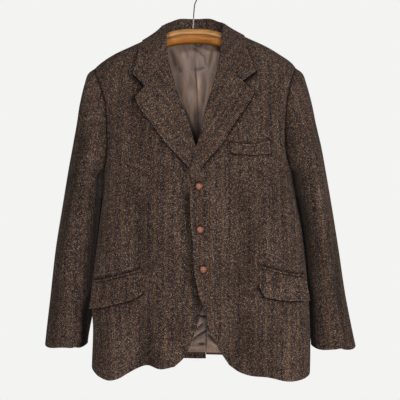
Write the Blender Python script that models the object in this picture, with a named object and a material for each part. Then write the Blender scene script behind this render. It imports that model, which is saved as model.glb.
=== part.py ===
"""A tweed hacking jacket hanging on a wooden hanger.

Metres, +Z up, front facing -Y. The origin is the inside top of the hanger's hook.
The wearer's left side is +X. All cloth pieces are walls laid on one body surface: a stack of
rounded level sections (BODY), on which a place is an angle round the body and a height.
"""
import math

import bpy
import numpy as np

# ---- driving sizes ----------------------------------------------------------------------
CLOTH = 0.0024          # wall of the tweed
LINING = 0.0012         # wall of the lining
SEAM = 0.0003           # gap between two pieces at a seam
SLEEVE_SEAM = 0.00024   # what each piece of a sleeve gives up at its long seams
CLEAR = 0.0023          # air between a panel and what lies on it
TURN = 0.0030           # how far a front's border stays outside the roll line
TURN_STAND = 0.0018     # width of a lapel's own strip inside the roll line
BUTTON_RADIUS = 0.0100
BUTTON_HEIGHT = 0.0058
WIRE_RADIUS = 0.0014
HOOK_INNER_RADIUS = 0.0200
BUTTON_SEAT = 0.0009    # air under a button
JETTING_HEIGHT = 0.0050
TRIM_LIFT = 0.0012      # air between a front and its jetting or welt
FLAP_LIFT = 0.0014      # air between a front and the top of its flap
FLAP_SPRING = 0.0022    # how much further a flap's lower edge stands off
LINING_LIFT = 0.0014    # air between the back and its lining
LINING_SHORT = 0.0125   # how far the lining's lower edge is above the hem
LAPEL_OVER = 0.0034     # how far the left front lies over the right one at the lapel
CLOSURE_OVER = 0.0042   # and how much further from the buttons down

SIDE_ROWS = 12          # cells up the side seam
ARMHOLE_ROWS = 10       # cells up each half of the armhole
SHOULDER_ROWS = 6       # cells along the shoulder seam
PANEL_COLUMNS = 11
SLEEVE_RINGS = 18
COLLAR_CELLS = 15
LAPEL_ROWS = 14
LAPEL_CELLS = 5
FLAP_CELLS = 9
WELT_CELLS = 7
BUTTON_SIDES = 18
WIRE_SIDES = 8
WIRE_STATIONS = 42
SIDE_SEAM_ANGLE = math.radians(8.0)     # side seams sit this far behind the sides
BODY_RADIUS = 0.22                      # turns an angle round the body into a length
FRONT_RADIUS = 0.12                     # the same on the flat of the front
GORGE_FADE = 0.3                        # share of a collar or lapel that bends to the gorge

LEFT = 1.0
RIGHT = -1.0

# Level sections of the body: reach to the wearer's left and right, depth of front and back,
# and how square the section is (2 is an ellipse).
BODY_COLUMNS = ("height", "left", "right", "front", "back", "square")
BODY = (
    (-0.0600, 0.0540, 0.0580, 0.034, 0.054, 2.1),
    (-0.0950, 0.0605, 0.0655, 0.036, 0.055, 2.2),
    (-0.1080, 0.0655, 0.0695, 0.037, 0.054, 2.2),
    (-0.1219, 0.0865, 0.0820, 0.040, 0.053, 2.2),
    (-0.1403, 0.1255, 0.1090, 0.045, 0.053, 2.3),
    (-0.1587, 0.1645, 0.1470, 0.052, 0.054, 2.4),
    (-0.1771, 0.1945, 0.1855, 0.059, 0.056, 2.5),
    (-0.1955, 0.2208, 0.2139, 0.065, 0.058, 2.5),
    (-0.2139, 0.2340, 0.2325, 0.069, 0.060, 2.6),
    (-0.2500, 0.2355, 0.2310, 0.076, 0.062, 2.6),
    (-0.3000, 0.2290, 0.2210, 0.082, 0.063, 2.6),
    (-0.3500, 0.2235, 0.2145, 0.085, 0.062, 2.6),
    (-0.4000, 0.2205, 0.2095, 0.086, 0.060, 2.6),
    (-0.4400, 0.2205, 0.2065, 0.086, 0.058, 2.6),
    (-0.5000, 0.2295, 0.2100, 0.085, 0.055, 2.7),
    (-0.5700, 0.2432, 0.2188, 0.083, 0.053, 2.7),
    (-0.6400, 0.2515, 0.2280, 0.081, 0.054, 2.7),
    (-0.7200, 0.2590, 0.2375, 0.078, 0.056, 2.7),
    (-0.8000, 0.2632, 0.2330, 0.075, 0.058, 2.7),
    (-0.8700, 0.2640, 0.2355, 0.071, 0.059, 2.6),
    (-0.9300, 0.2620, 0.2375, 0.068, 0.060, 2.6),
)

# Large soft folds of the body: a line from its top to its bottom, half width, and depth
# outward (negative is a trough), which grows from nothing at the top.
FOLD_COLUMNS = ("face", "top_x", "top_z", "low_x", "low_z", "width", "depth")
FOLDS = (
    ("front", -0.108, -0.700, -0.106, -0.900, 0.020, -0.011),
    ("front", -0.150, -0.740, -0.172, -0.920, 0.026, 0.006),
    ("front", -0.060, -0.640, -0.062, -0.900, 0.026, 0.004),
    ("front", 0.130, -0.740, 0.150, -0.920, 0.030, -0.004),
    ("front", 0.205, -0.720, 0.215, -0.920, 0.026, 0.005),
    ("front", -0.150, -0.360, -0.120, -0.560, 0.030, -0.004),
    ("front", 0.150, -0.420, 0.120, -0.600, 0.030, -0.004),
    ("back", -0.120, -0.420, -0.110, -0.900, 0.035, -0.007),
    ("back", 0.105, -0.450, 0.125, -0.900, 0.035, -0.007),
    ("back", -0.055, -0.560, -0.045, -0.900, 0.028, 0.004),
    ("back", 0.065, -0.560, 0.075, -0.900, 0.028, 0.004),
)

# The roll line of each lapel, from the gorge down to the break (x across, z up).
ROLL = {
    LEFT: ((0.0567, -0.1950), (0.0520, -0.2222), (0.0426, -0.2600), (0.0307, -0.2973),
           (0.0213, -0.3336), (0.0138, -0.3698), (0.0045, -0.4005), (-0.0063, -0.4304),
           (-0.0080, -0.4600)),
    RIGHT: ((-0.0601, -0.2043), (-0.0552, -0.2222), (-0.0449, -0.2600), (-0.0325, -0.2973),
            (-0.0214, -0.3243), (-0.0105, -0.3607), (0.0004, -0.3930), (0.0100, -0.4200),
            (0.0180, -0.4470)),
}

# The front edge of each front, from below the lapel to the turn of the cutaway corner.
FRONT_EDGE = {
    LEFT: ((-0.0106, -0.5000), (-0.0106, -0.5256), (-0.0071, -0.5710), (-0.0036, -0.6154),
           (-0.0017, -0.6576), (0.0045, -0.6950), (0.0125, -0.7247), (0.0202, -0.7418),
           (0.0250, -0.7618), (0.0290, -0.7798), (0.0354, -0.7983), (0.0463, -0.8211),
           (0.0569, -0.8406), (0.0754, -0.8699)),
    RIGHT: ((0.0270, -0.4900), (0.0290, -0.5300), (0.0290, -0.5900), (0.0290, -0.6576),
            (0.0270, -0.6950), (0.0205, -0.7300), (0.0156, -0.7498), (0.0095, -0.7682),
            (0.0019, -0.7953), (-0.0057, -0.8152), (-0.0142, -0.8350), (-0.0255, -0.8549),
            (-0.0440, -0.8720)),
}

# The front hem of each front, from that corner out to the side.
FRONT_HEM = {
    LEFT: ((0.0754, -0.8699), (0.0950, -0.8840), (0.1170, -0.8927), (0.1620, -0.8996),
           (0.2009, -0.9090), (0.2382, -0.9100), (0.2560, -0.9060)),
    RIGHT: ((-0.0440, -0.8720), (-0.0772, -0.8792), (-0.1049, -0.8730), (-0.1244, -0.8774),
            (-0.1505, -0.8909), (-0.1617, -0.8980), (-0.1890, -0.9080), (-0.2130, -0.9040),
            (-0.2310, -0.8930)),
}
SIDE_HEM = {LEFT: -0.8980, RIGHT: -0.8870}      # height of the hem at the side seam
CENTRE_HEM = {LEFT: -0.8790, RIGHT: -0.8885}    # and at each edge of the centre vent

# The front armhole seam from the shoulder point down to the foot of its scoop.
FRONT_ARMHOLE = {
    LEFT: ((0.2210, -0.2250), (0.2130, -0.2474), (0.2065, -0.2800), (0.2020, -0.3200),
           (0.2005, -0.3600), (0.2030, -0.4000), (0.2110, -0.4280)),
    RIGHT: ((-0.2200, -0.2284), (-0.2090, -0.2586), (-0.2010, -0.2842), (-0.1965, -0.3184),
            (-0.1950, -0.3611), (-0.1955, -0.4000), (-0.2010, -0.4280)),
}
BACK_ARMHOLE = {
    LEFT: ((0.2200, -0.2300), (0.2120, -0.2600), (0.2075, -0.3000), (0.2065, -0.3500),
           (0.2090, -0.3950), (0.2150, -0.4270)),
    RIGHT: ((-0.2180, -0.2300), (-0.2080, -0.2600), (-0.2010, -0.3000), (-0.1985, -0.3500),
            (-0.1990, -0.3950), (-0.2030, -0.4270)),
}
SHOULDER_POINT = -0.2065        # height where the shoulder seam meets the armhole
ARMPIT = -0.4400                # height of the armhole's lowest point
NECK_POINT = -0.1212            # height where the shoulder seam meets the neck seam

# Centre back line, from the neck down to the hem.
CENTRE_BACK = ((-0.0030, -0.1120), (0.0020, -0.2500), (0.0080, -0.4000), (0.0140, -0.5600),
               (0.0200, -0.7300), (0.0258, -0.8840))

# Half of the collar, from the gorge round to the centre back: fold line, neck seam and outer
# edge, each as distance from the middle and height. The face says where the row lies.
COLLAR_COLUMNS = ("face", "fold_x", "fold_z", "seam_x", "seam_z", "edge_x", "edge_z")
COLLAR = {
    LEFT: (
        ("front", 0.0567, -0.1950, 0.0597, -0.1950, 0.1311, -0.2303),
        ("front", 0.0600, -0.1655, 0.0660, -0.1690, 0.1200, -0.1985),
        ("front", 0.0630, -0.1350, 0.0740, -0.1440, 0.1130, -0.1700),
        ("side", 0.0660, -0.1060, 0.0860, -0.1212, 0.1053, -0.1320),
        ("back", 0.0545, -0.0940, 0.0720, -0.1165, 0.0900, -0.1370),
        ("back", 0.0345, -0.0805, 0.0440, -0.1130, 0.0520, -0.1360),
        ("back", 0.0000, -0.0785, 0.0000, -0.1120, 0.0000, -0.1350),
    ),
    RIGHT: (
        ("front", 0.0601, -0.2043, 0.0631, -0.2043, 0.1328, -0.2358),
        ("front", 0.0640, -0.1655, 0.0700, -0.1690, 0.1268, -0.2082),
        ("front", 0.0665, -0.1350, 0.0760, -0.1440, 0.1203, -0.1720),
        ("side", 0.0695, -0.1060, 0.0830, -0.1212, 0.1140, -0.1420),
        ("back", 0.0580, -0.0940, 0.0720, -0.1165, 0.0950, -0.1400),
        ("back", 0.0365, -0.0808, 0.0440, -0.1130, 0.0550, -0.1365),
        ("back", 0.0000, -0.0785, 0.0000, -0.1120, 0.0000, -0.1350),
    ),
}
NECK_SPACING = (0.0, 0.14, 0.28, 0.45, 0.62, 0.80, 1.0)     # place of each row round the neck
NECK_SHARE = NECK_SPACING[3]                                # and of the shoulder seam
NOTCH = {LEFT: (0.1038, -0.2508), RIGHT: (-0.1086, -0.2620)}        # inner corner of the notch
NOTCH_SHARE = 0.6                                                   # its place on the gorge end

# The outer edge of each lapel, from its tip down to the break.
LAPEL_EDGE = {
    LEFT: ((0.1272, -0.2760), (0.1200, -0.2920), (0.1035, -0.3176), (0.0804, -0.3491),
           (0.0612, -0.3794), (0.0362, -0.4128), (0.0140, -0.4400), (0.0005, -0.4620)),
    RIGHT: ((-0.1281, -0.2856), (-0.1187, -0.3055), (-0.0932, -0.3398), (-0.0653, -0.3820),
            (-0.0347, -0.4153), (-0.0127, -0.4373), (0.0040, -0.4500)),
}

# Hacking pocket flaps: top seam and lower edge, from the inner end to the outer end.
FLAP_COLUMNS = ("x", "top", "low_x", "low")
FLAP = {
    LEFT: ((0.1417, -0.6560, 0.1404, -0.6980), (0.1540, -0.6590, 0.1500, -0.7165),
           (0.1750, -0.6650, 0.1720, -0.7245), (0.2000, -0.6715, 0.2000, -0.7285),
           (0.2250, -0.6765, 0.2260, -0.7312), (0.2450, -0.6805, 0.2460, -0.7320)),
    RIGHT: ((-0.1164, -0.6634, -0.1132, -0.7110), (-0.1300, -0.6672, -0.1270, -0.7205),
            (-0.1500, -0.6730, -0.1480, -0.7290), (-0.1750, -0.6800, -0.1740, -0.7365),
            (-0.2000, -0.6868, -0.2010, -0.7440), (-0.2240, -0.6925, -0.2250, -0.7490)),
}
FLAP_STAND = 0.0100             # how far a flap's outer lower corner stands off the body

WELT = ((0.0764, -0.3850, 0.0800, -0.4066), (0.1050, -0.3870, 0.1040, -0.4100),
        (0.1332, -0.3866, 0.1290, -0.4105), (0.1622, -0.3779, 0.1660, -0.4075))

BUTTONS = {"button_top": (0.0094, -0.4787), "button_middle": (0.0117, -0.5719),
           "button_bottom": (0.0184, -0.6576)}

# One sleeve by its share of length: the outer line, the inner line, and the section's half
# depth and middle. The first row is the armhole itself.
SLEEVE_COLUMNS = ("share", "outer_x", "outer_z", "inner_x", "inner_z", "half_depth", "middle")
SLEEVE = {
    RIGHT: (
        (0.00, 0.2290, -0.2065, 0.2070, -0.4400, 0.050, 0.004),
        (0.04, 0.2425, -0.2170, 0.2095, -0.4430, 0.054, 0.004),
        (0.10, 0.2520, -0.2430, 0.2120, -0.4450, 0.060, 0.005),
        (0.18, 0.2625, -0.2865, 0.2140, -0.4480, 0.068, 0.007),
        (0.28, 0.2700, -0.3330, 0.2160, -0.4540, 0.074, 0.010),
        (0.38, 0.2800, -0.3850, 0.2175, -0.4680, 0.077, 0.013),
        (0.48, 0.2910, -0.4400, 0.2190, -0.5000, 0.077, 0.016),
        (0.60, 0.3050, -0.5200, 0.2240, -0.5620, 0.073, 0.018),
        (0.73, 0.3220, -0.6200, 0.2340, -0.6450, 0.066, 0.020),
        (0.87, 0.3360, -0.7350, 0.2445, -0.7480, 0.054, 0.021),
        (0.96, 0.3445, -0.8080, 0.2475, -0.8130, 0.046, 0.019),
        (1.00, 0.3480, -0.8420, 0.2500, -0.8425, 0.043, 0.018),
    ),
    LEFT: (
        (0.00, 0.2290, -0.2065, 0.2205, -0.4400, 0.050, 0.004),
        (0.04, 0.2425, -0.2170, 0.2230, -0.4430, 0.054, 0.004),
        (0.10, 0.2530, -0.2430, 0.2255, -0.4450, 0.060, 0.005),
        (0.18, 0.2655, -0.2865, 0.2280, -0.4480, 0.068, 0.007),
        (0.28, 0.2760, -0.3330, 0.2305, -0.4540, 0.074, 0.010),
        (0.38, 0.2890, -0.3850, 0.2330, -0.4680, 0.077, 0.013),
        (0.48, 0.3000, -0.4400, 0.2375, -0.5000, 0.077, 0.016),
        (0.60, 0.3145, -0.5200, 0.2475, -0.5620, 0.073, 0.018),
        (0.73, 0.3315, -0.6200, 0.2570, -0.6450, 0.066, 0.020),
        (0.87, 0.3500, -0.7350, 0.2665, -0.7480, 0.054, 0.021),
        (0.96, 0.3655, -0.8130, 0.2685, -0.8180, 0.046, 0.019),
        (1.00, 0.3725, -0.8460, 0.2700, -0.8465, 0.043, 0.018),
    ),
}
SLEEVE_CLEAR = 0.0006           # the sleeve stands this far out of the armhole
SLEEVE_WRAP = 0.0130            # how far a sleeve's inner back quarter lies in behind the body
TOP_SLEEVE_CELLS = (5, 6)       # cells of the top sleeve behind and in front of the crown

# Broad folds of a sleeve: place down the arm and round it (turns), how long and wide, depth.
SLEEVE_FOLD_COLUMNS = ("share", "turn", "length", "width", "depth")
SLEEVE_FOLDS = (
    (0.30, 0.20, 0.10, 0.06, -0.004),
    (0.52, 0.17, 0.16, 0.07, -0.004),
    (0.62, 0.28, 0.06, 0.10, 0.003),
    (0.86, 0.15, 0.16, 0.06, -0.004),
    (0.50, 0.78, 0.12, 0.08, -0.004),
    (0.66, 0.66, 0.08, 0.10, 0.003),
)

# The hanger's bow: place across, height of its upper edge, its height and half thickness.
BOW_COLUMNS = ("x", "top", "height", "half_thickness")
BOW = (
    (-0.2080, -0.2080, 0.022, 0.0070),
    (-0.2000, -0.1990, 0.032, 0.0090),
    (-0.1650, -0.1790, 0.033, 0.0095),
    (-0.1200, -0.1545, 0.033, 0.0100),
    (-0.0720, -0.1270, 0.034, 0.0105),
    (-0.0380, -0.1170, 0.034, 0.0110),
    (-0.0040, -0.1150, 0.034, 0.0115),
    (0.0320, -0.1165, 0.034, 0.0110),
    (0.0660, -0.1260, 0.034, 0.0105),
    (0.1200, -0.1540, 0.033, 0.0100),
    (0.1650, -0.1770, 0.033, 0.0095),
    (0.2010, -0.1980, 0.032, 0.0090),
    (0.2090, -0.2070, 0.022, 0.0070),
)
BOW_STATIONS = 30
BOW_SIDES = 12
STEM = ((-0.0046, -0.1144), (-0.0034, -0.0940), (-0.0020, -0.0720), (0.0000, -0.0570),
        (0.0065, -0.0450))
HOOK_END_ANGLE = math.radians(212.0)

COLOURS = {
    "woven_wool_tweed": (0.060, 0.040, 0.032),
    "lining_satin": (0.160, 0.115, 0.090),
    "plaited_leather": (0.120, 0.045, 0.025),
    "varnished_beech": (0.420, 0.200, 0.050),
    "bright_steel": (0.600, 0.600, 0.600),
}


# ---- curves and tables ------------------------------------------------------------------
def smooth(at, knots, values):
    """A curve through values at knots, its slope at each knot taken from the two beside it."""
    knots = np.asarray(knots, float)
    values = np.asarray(values, float)
    slopes = np.gradient(values, knots, axis=0)
    at = np.clip(np.asarray(at, float), knots[0], knots[-1])
    cell = np.clip(np.searchsorted(knots, at, side="right") - 1, 0, len(knots) - 2)
    width = knots[cell + 1] - knots[cell]
    t = (at - knots[cell]) / width
    if values.ndim == 2:
        width = width[..., None]
        t = t[..., None]
    rise = 3 * t ** 2 - 2 * t ** 3
    leave = (t ** 3 - 2 * t ** 2 + t) * width
    arrive = (t ** 3 - t ** 2) * width
    level = (1 - rise) * values[cell] + rise * values[cell + 1]
    return level + leave * slopes[cell] + arrive * slopes[cell + 1]


def column(rows, columns, name):
    """One named column of a table."""
    place = columns.index(name)
    return np.array([row[place] for row in rows], float)


def walk(points, shares):
    """Places at the given shares of the length of a smooth path through the points."""
    points = np.asarray(points, float)
    steps = np.linalg.norm(np.diff(points, axis=0), axis=1)
    length = np.concatenate([[0.0], np.cumsum(steps)])
    return smooth(np.asarray(shares) * length[-1], length, points)


def ease(value):
    """Soft step from 0 to 1."""
    value = np.clip(value, 0.0, 1.0)
    return value * value * (3.0 - 2.0 * value)


# ---- the body surface -------------------------------------------------------------------
HEIGHTS = column(BODY, BODY_COLUMNS, "height")[::-1]


def section(name, height):
    """A column of the body table at any height."""
    return smooth(height, HEIGHTS, column(BODY, BODY_COLUMNS, name)[::-1])


def angle_at(x, z, face):
    """Angle round the body of a place on its front or back: 0 is the wearer's left side,
    a quarter turn the middle front, a half turn the right side."""
    reach = np.where(x > 0, section("left", z), section("right", z))
    share = np.clip(np.abs(x) / reach, 0.0, 1.0) ** (section("square", z) / 2.0)
    angle = np.arccos(share * np.sign(x))
    return angle if face == "front" else 2.0 * np.pi - angle


def fold_height(face, x, z):
    """Sum of the soft folds: each a bell across its line, growing down along it."""
    total = np.zeros_like(x)
    for row in FOLDS:
        fold = dict(zip(FOLD_COLUMNS, row))
        if fold["face"] != face:
            continue
        down = (fold["top_z"] - z) / (fold["top_z"] - fold["low_z"])
        line = fold["top_x"] + (fold["low_x"] - fold["top_x"]) * down
        total += fold["depth"] * ease(down) * np.exp(-((x - line) / fold["width"]) ** 2)
    return total


def overlap(x, z):
    """How far the wearer's left front lies over the right one near the closure."""
    over_edge = 1.0 - ease((x - 0.034) / 0.048)
    lapel_height = ease((-0.250 - z) / 0.110) * (1.0 - ease((-0.465 - z) / 0.060))
    button_height = ease((-0.290 - z) / 0.080)
    return over_edge * (LAPEL_OVER * lapel_height + CLOSURE_OVER * button_height)


def skin(angle, z, layer):
    """Outer surface of the body: a rounded section at each height, with its folds. The
    layer 'over' is the wearer's left front, which lies on the other."""
    angle = np.asarray(angle, float)
    z = np.broadcast_to(np.asarray(z, float), angle.shape)
    power = 2.0 / section("square", z)
    c = np.cos(angle)
    s = np.sin(angle)
    reach = np.where(c > 0, section("left", z), section("right", z))
    x = reach * np.sign(c) * np.abs(c) ** power
    front = section("front", z) + fold_height("front", x, z)
    back = section("back", z) + fold_height("back", x, z)
    if layer == "over":
        front = front + overlap(x, z)
    depth = np.where(s > 0, front, back)
    y = -depth * np.sign(s) * np.abs(s) ** power
    return np.stack([x, y, z], axis=-1)


def outward(angle, z, layer):
    """Unit normals of the body surface."""
    turn = 0.004
    rise = 0.0008
    across = skin(angle + turn, z, layer) - skin(angle - turn, z, layer)
    up = skin(angle, z + rise, layer) - skin(angle, z - rise, layer)
    normal = np.cross(up, across)
    return normal / np.linalg.norm(normal, axis=-1, keepdims=True)


def on_skin(place, lift, layer="under"):
    """Points at (angle, height) places, raised off the surface."""
    angle = place[..., 0]
    z = place[..., 1]
    lift = np.broadcast_to(np.asarray(lift, float), angle.shape)
    return skin(angle, z, layer) + outward(angle, z, layer) * lift[..., None]


def place_of(points, side):
    """(angle, height) of points near the surface, from the ray that they lie on."""
    points = np.asarray(points, float)
    x, y, z = points[..., 0], points[..., 1], points[..., 2]
    reach = np.where(x > 0, section("left", z), section("right", z))
    depth = np.where(y < 0, section("front", z), section("back", z))
    power = section("square", z) / 2.0
    c = np.sign(x) * (np.abs(x) / reach) ** power
    s = -np.sign(y) * (np.abs(y) / depth) ** power
    angle = np.arctan2(s, c)
    if side == RIGHT:
        angle = np.where(angle < 0, angle + 2.0 * np.pi, angle)
    return np.stack([angle, z], axis=-1)


def nearest_place(points, side, layer="under"):
    """(angle, height) of the surface's nearest points: steps along the surface towards each
    point, until what is left over stands square to it."""
    points = np.asarray(points, float)
    place = place_of(points, side)
    turn = 0.01
    rise = 0.001
    for _ in range(8):
        here = skin(place[..., 0], place[..., 1], layer)
        across = (skin(place[..., 0] + turn, place[..., 1], layer) - here) / turn
        up = (skin(place[..., 0], place[..., 1] + rise, layer) - here) / rise
        rest = points - here
        aa = np.einsum("...i,...i->...", across, across)
        uu = np.einsum("...i,...i->...", up, up)
        au = np.einsum("...i,...i->...", across, up)
        ar = np.einsum("...i,...i->...", across, rest)
        ur = np.einsum("...i,...i->...", up, rest)
        area = aa * uu - au * au
        step = np.stack([(uu * ar - au * ur) / area, (aa * ur - au * ar) / area], axis=-1)
        place = place + np.clip(step, (-0.15, -0.01), (0.15, 0.01)) * 0.8
    return place


def places(points, face):
    """(angle, height) of flat (x, z) points."""
    points = np.asarray(points, float)
    return np.stack([angle_at(points[..., 0], points[..., 1], face), points[..., 1]], axis=-1)


# ---- making solids ----------------------------------------------------------------------
def material(name, roughness, metallic=0.0):
    """A plain Principled finish, made once."""
    made = bpy.data.materials.get(name)
    if made is None:
        made = bpy.data.materials.new(name)
        made.use_nodes = True
        shader = made.node_tree.nodes["Principled BSDF"]
        shader.inputs["Base Color"].default_value = (*COLOURS[name], 1.0)
        shader.inputs["Roughness"].default_value = roughness
        shader.inputs["Metallic"].default_value = metallic
    return made


def tweed():
    """The jacket's cloth."""
    return material("woven_wool_tweed", 0.9)


def add_object(name, points, faces, finish):
    """One closed body; its faces are turned out if their volume comes out negative."""
    points = np.asarray(points, float)
    volume = 0.0
    for face in faces:
        for second, third in zip(face[1:-1], face[2:]):
            volume += np.dot(points[face[0]], np.cross(points[second], points[third]))
    if volume < 0:
        faces = [tuple(reversed(face)) for face in faces]
    mesh = bpy.data.meshes.new(name)
    mesh.from_pydata(points.tolist(), [], [tuple(face) for face in faces])
    mesh.materials.append(finish)
    mesh.shade_smooth()
    mesh.set_sharp_from_angle(angle=math.radians(40.0))
    made = bpy.data.objects.new(name, mesh)
    bpy.context.scene.collection.objects.link(made)
    return made


def trim(outer, inner, rows=(SEAM / 2, SEAM / 2), columns=(SEAM / 2, SEAM / 2)):
    """Moves each border row and column of a wall towards the next one, by its own gap."""
    trimmed = []
    for grid in (outer, inner):
        grid = grid.copy()
        for axis, gaps in ((0, rows), (1, columns)):
            grid = np.swapaxes(grid, 0, axis)
            for edge, beside, gap in ((0, 1, gaps[0]), (-1, -2, gaps[1])):
                step = grid[beside] - grid[edge]
                step = step / np.linalg.norm(step, axis=-1, keepdims=True)
                grid[edge] = grid[edge] + step * gap
            grid = np.swapaxes(grid, 0, axis)
        trimmed.append(grid)
    return trimmed


def wall(name, outer, inner, finish):
    """A closed wall between two grids of points of the same size."""
    rows, columns = outer.shape[:2]
    count = rows * columns
    index = np.arange(count).reshape(rows, columns)
    quads = np.stack([index[:-1, :-1], index[1:, :-1], index[1:, 1:], index[:-1, 1:]], axis=-1)
    quads = quads.reshape(-1, 4)
    ahead = np.concatenate([index[0, :], index[1:, -1]])
    back = np.concatenate([index[-1, ::-1], index[-2::-1, 0]])
    faces = quads.tolist() + (quads[:, ::-1] + count).tolist()
    for a, b in zip(ahead[:-1].tolist(), ahead[1:].tolist()):
        faces += [(a, b, b + count), (a, b + count, a + count)]
    for a, b in zip(back[:-1].tolist(), back[1:].tolist()):
        faces += [(a, b, a + count), (b, b + count, a + count)]
    points = np.concatenate([outer.reshape(-1, 3), inner.reshape(-1, 3)])
    return add_object(name, points, faces, finish)


def grid_normals(grid, closed_columns=False):
    """Unit normals of a grid from its neighbours."""
    down = np.gradient(grid, axis=0)
    if closed_columns:
        across = np.roll(grid, -1, axis=1) - np.roll(grid, 1, axis=1)
    else:
        across = np.gradient(grid, axis=1)
    normal = np.cross(down, across)
    return normal / np.linalg.norm(normal, axis=-1, keepdims=True)


def patch(low, top, inner, outer):
    """A surface net between four borders, in (angle, height) places: low and top run along
    the columns, inner and outer along the rows."""
    v = np.linspace(0.0, 1.0, len(inner))[:, None, None]
    u = np.linspace(0.0, 1.0, len(low))[None, :, None]
    rows = (1 - v) * low[None] + v * top[None]
    columns = (1 - u) * inner[:, None] + u * outer[:, None]
    corners = ((1 - v) * ((1 - u) * low[0] + u * low[-1]) + v * ((1 - u) * top[0] + u * top[-1]))
    return rows + columns - corners


def tube(name, centres, radii, sides, finish):
    """A round or oval bar: sections square to a path in the x-z plane, with flat ends.
    Each radius row is (in the plane, along y)."""
    centres = np.asarray(centres, float)
    along = np.gradient(centres, axis=0)
    along = along / np.linalg.norm(along, axis=1, keepdims=True)
    aside = np.stack([-along[:, 2], np.zeros(len(along)), along[:, 0]], axis=-1)
    turn = np.linspace(0.0, 2.0 * np.pi, sides, endpoint=False)
    radii = np.asarray(radii, float)
    in_plane = aside[:, None] * np.cos(turn)[None, :, None] * radii[:, None, :1]
    along_y = np.array([0.0, 1.0, 0.0]) * np.sin(turn)[None, :, None] * radii[:, None, 1:]
    rings = centres[:, None] + in_plane + along_y
    count = len(centres)
    index = np.arange(count * sides).reshape(count, sides)
    next_side = np.roll(index, -1, axis=1)
    quads = np.stack([index[:-1], next_side[:-1], next_side[1:], index[1:]], axis=-1).reshape(-1, 4)
    points = np.concatenate([rings.reshape(-1, 3), centres[:1], centres[-1:]])
    faces = []
    for a, b, c, d in quads.tolist():
        faces.append((a, b, c))
        faces.append((a, c, d))
    first = count * sides
    for a, b in zip(index[0].tolist(), next_side[0].tolist()):
        faces.append((b, a, first))
    for a, b in zip(index[-1].tolist(), next_side[-1].tolist()):
        faces.append((a, b, first + 1))
    return add_object(name, points, faces, finish)


# ---- panels -----------------------------------------------------------------------------
def side_seam(side):
    """The side seam from the hem to the armpit."""
    shares = np.linspace(0.0, 1.0, SIDE_ROWS + 1)
    heights = SIDE_HEM[side] + (ARMPIT - SIDE_HEM[side]) * shares
    return np.stack([np.full_like(heights, seam_angle(side)), heights], axis=-1)


def seam_angle(side):
    """Angle of a side seam: just behind the wearer's side."""
    return -SIDE_SEAM_ANGLE if side == LEFT else math.pi + SIDE_SEAM_ANGLE


def ridge_angle(side):
    """Angle of the shoulder ridge."""
    return 0.0 if side == LEFT else math.pi


def wrapped(place, side):
    """Brings angles behind the wearer's left side below zero, next to the front's."""
    place = place.copy()
    if side == LEFT:
        angle = place[..., 0]
        place[..., 0] = np.where(angle > math.pi, angle - 2.0 * math.pi, angle)
    return place


def armhole(side, face):
    """Half of the armhole, from the armpit up to the shoulder point."""
    rows = FRONT_ARMHOLE[side] if face == "front" else BACK_ARMHOLE[side]
    between = wrapped(places(rows, face), side)[::-1]
    foot = np.array([[seam_angle(side), ARMPIT]])
    crown = np.array([[ridge_angle(side), SHOULDER_POINT]])
    path = np.concatenate([foot, between, crown])
    reach = np.array([BODY_RADIUS, 1.0])
    shares = np.linspace(0.0, 1.0, ARMHOLE_ROWS + 1)
    return walk(path * reach, shares) / reach


def outer_border(side, face):
    """Side seam, armhole and shoulder seam, from the hem to the neck point."""
    heights = np.linspace(SHOULDER_POINT, NECK_POINT, SHOULDER_ROWS + 1)
    shoulder = np.stack([np.full_like(heights, ridge_angle(side)), heights], axis=-1)
    return np.concatenate([side_seam(side), armhole(side, face)[1:], shoulder[1:]])


def row_shares(side, face):
    """How far up each row of a panel starts, so that its rows lie nearly level."""
    heights = outer_border(side, face)[:, 1]
    return (heights - heights[0]) / (heights[-1] - heights[0])


def front_net(side):
    """(angle, height) places of a whole front. Its inner border goes up the cutaway and the
    closure and just outside the roll line to the gorge, and its top is the neck seam."""
    edge = list(FRONT_EDGE[side])[::-1]
    roll = [(x + side * TURN, z) for x, z in ROLL[side]][::-1]
    reach = np.array([FRONT_RADIUS, 1.0])
    inner = walk(places(edge + roll, "front") * reach, row_shares(side, "front")) / reach
    hem = places(FRONT_HEM[side], "front")
    hem = np.concatenate([hem, [[seam_angle(side), SIDE_HEM[side]]]])
    reach = np.array([BODY_RADIUS, 1.0])
    low = walk(hem * reach, np.linspace(0.0, 1.0, PANEL_COLUMNS + 1)) / reach
    top = neck_line(side, "seam", np.linspace(0.0, NECK_SHARE, PANEL_COLUMNS + 1))
    top = nearest_place(top, side)
    inner[-1] = top[0]
    outer = outer_border(side, "front")
    top[-1] = outer[-1]
    return patch(low, top, inner, outer)


def back_net(side):
    """(angle, height) places of half of the back, from the centre seam to the side."""
    outer = outer_border(side, "back")
    line = ((CENTRE_BACK[-1][0], CENTRE_HEM[side]),) + CENTRE_BACK[-2::-1]
    centre = wrapped(places(walk(line, row_shares(side, "back")), "back"), side)
    top = neck_line(side, "seam", np.linspace(1.0, NECK_SHARE, PANEL_COLUMNS + 1))
    top = nearest_place(top, side)
    top[0] = centre[-1]
    top[-1] = outer[-1]
    share = np.linspace(0.0, 1.0, PANEL_COLUMNS + 1)[:, None]
    low = centre[0] + (outer[0] - centre[0]) * share
    return patch(low, top, centre, outer)


def side_name(side):
    """The wearer's side as a word."""
    return "left" if side == LEFT else "right"


def make_panels(side):
    """A front and half of the back, as walls hanging inward from the body surface."""
    front_layer = "over" if side == LEFT else "under"
    pieces = (("front", front_net(side), front_layer), ("back", back_net(side), "under"))
    for name, net, layer in pieces:
        outer, inner = trim(on_skin(net, 0.0, layer), on_skin(net, -CLOTH, layer))
        wall(f"{name}_{side_name(side)}", outer, inner, tweed())


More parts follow.
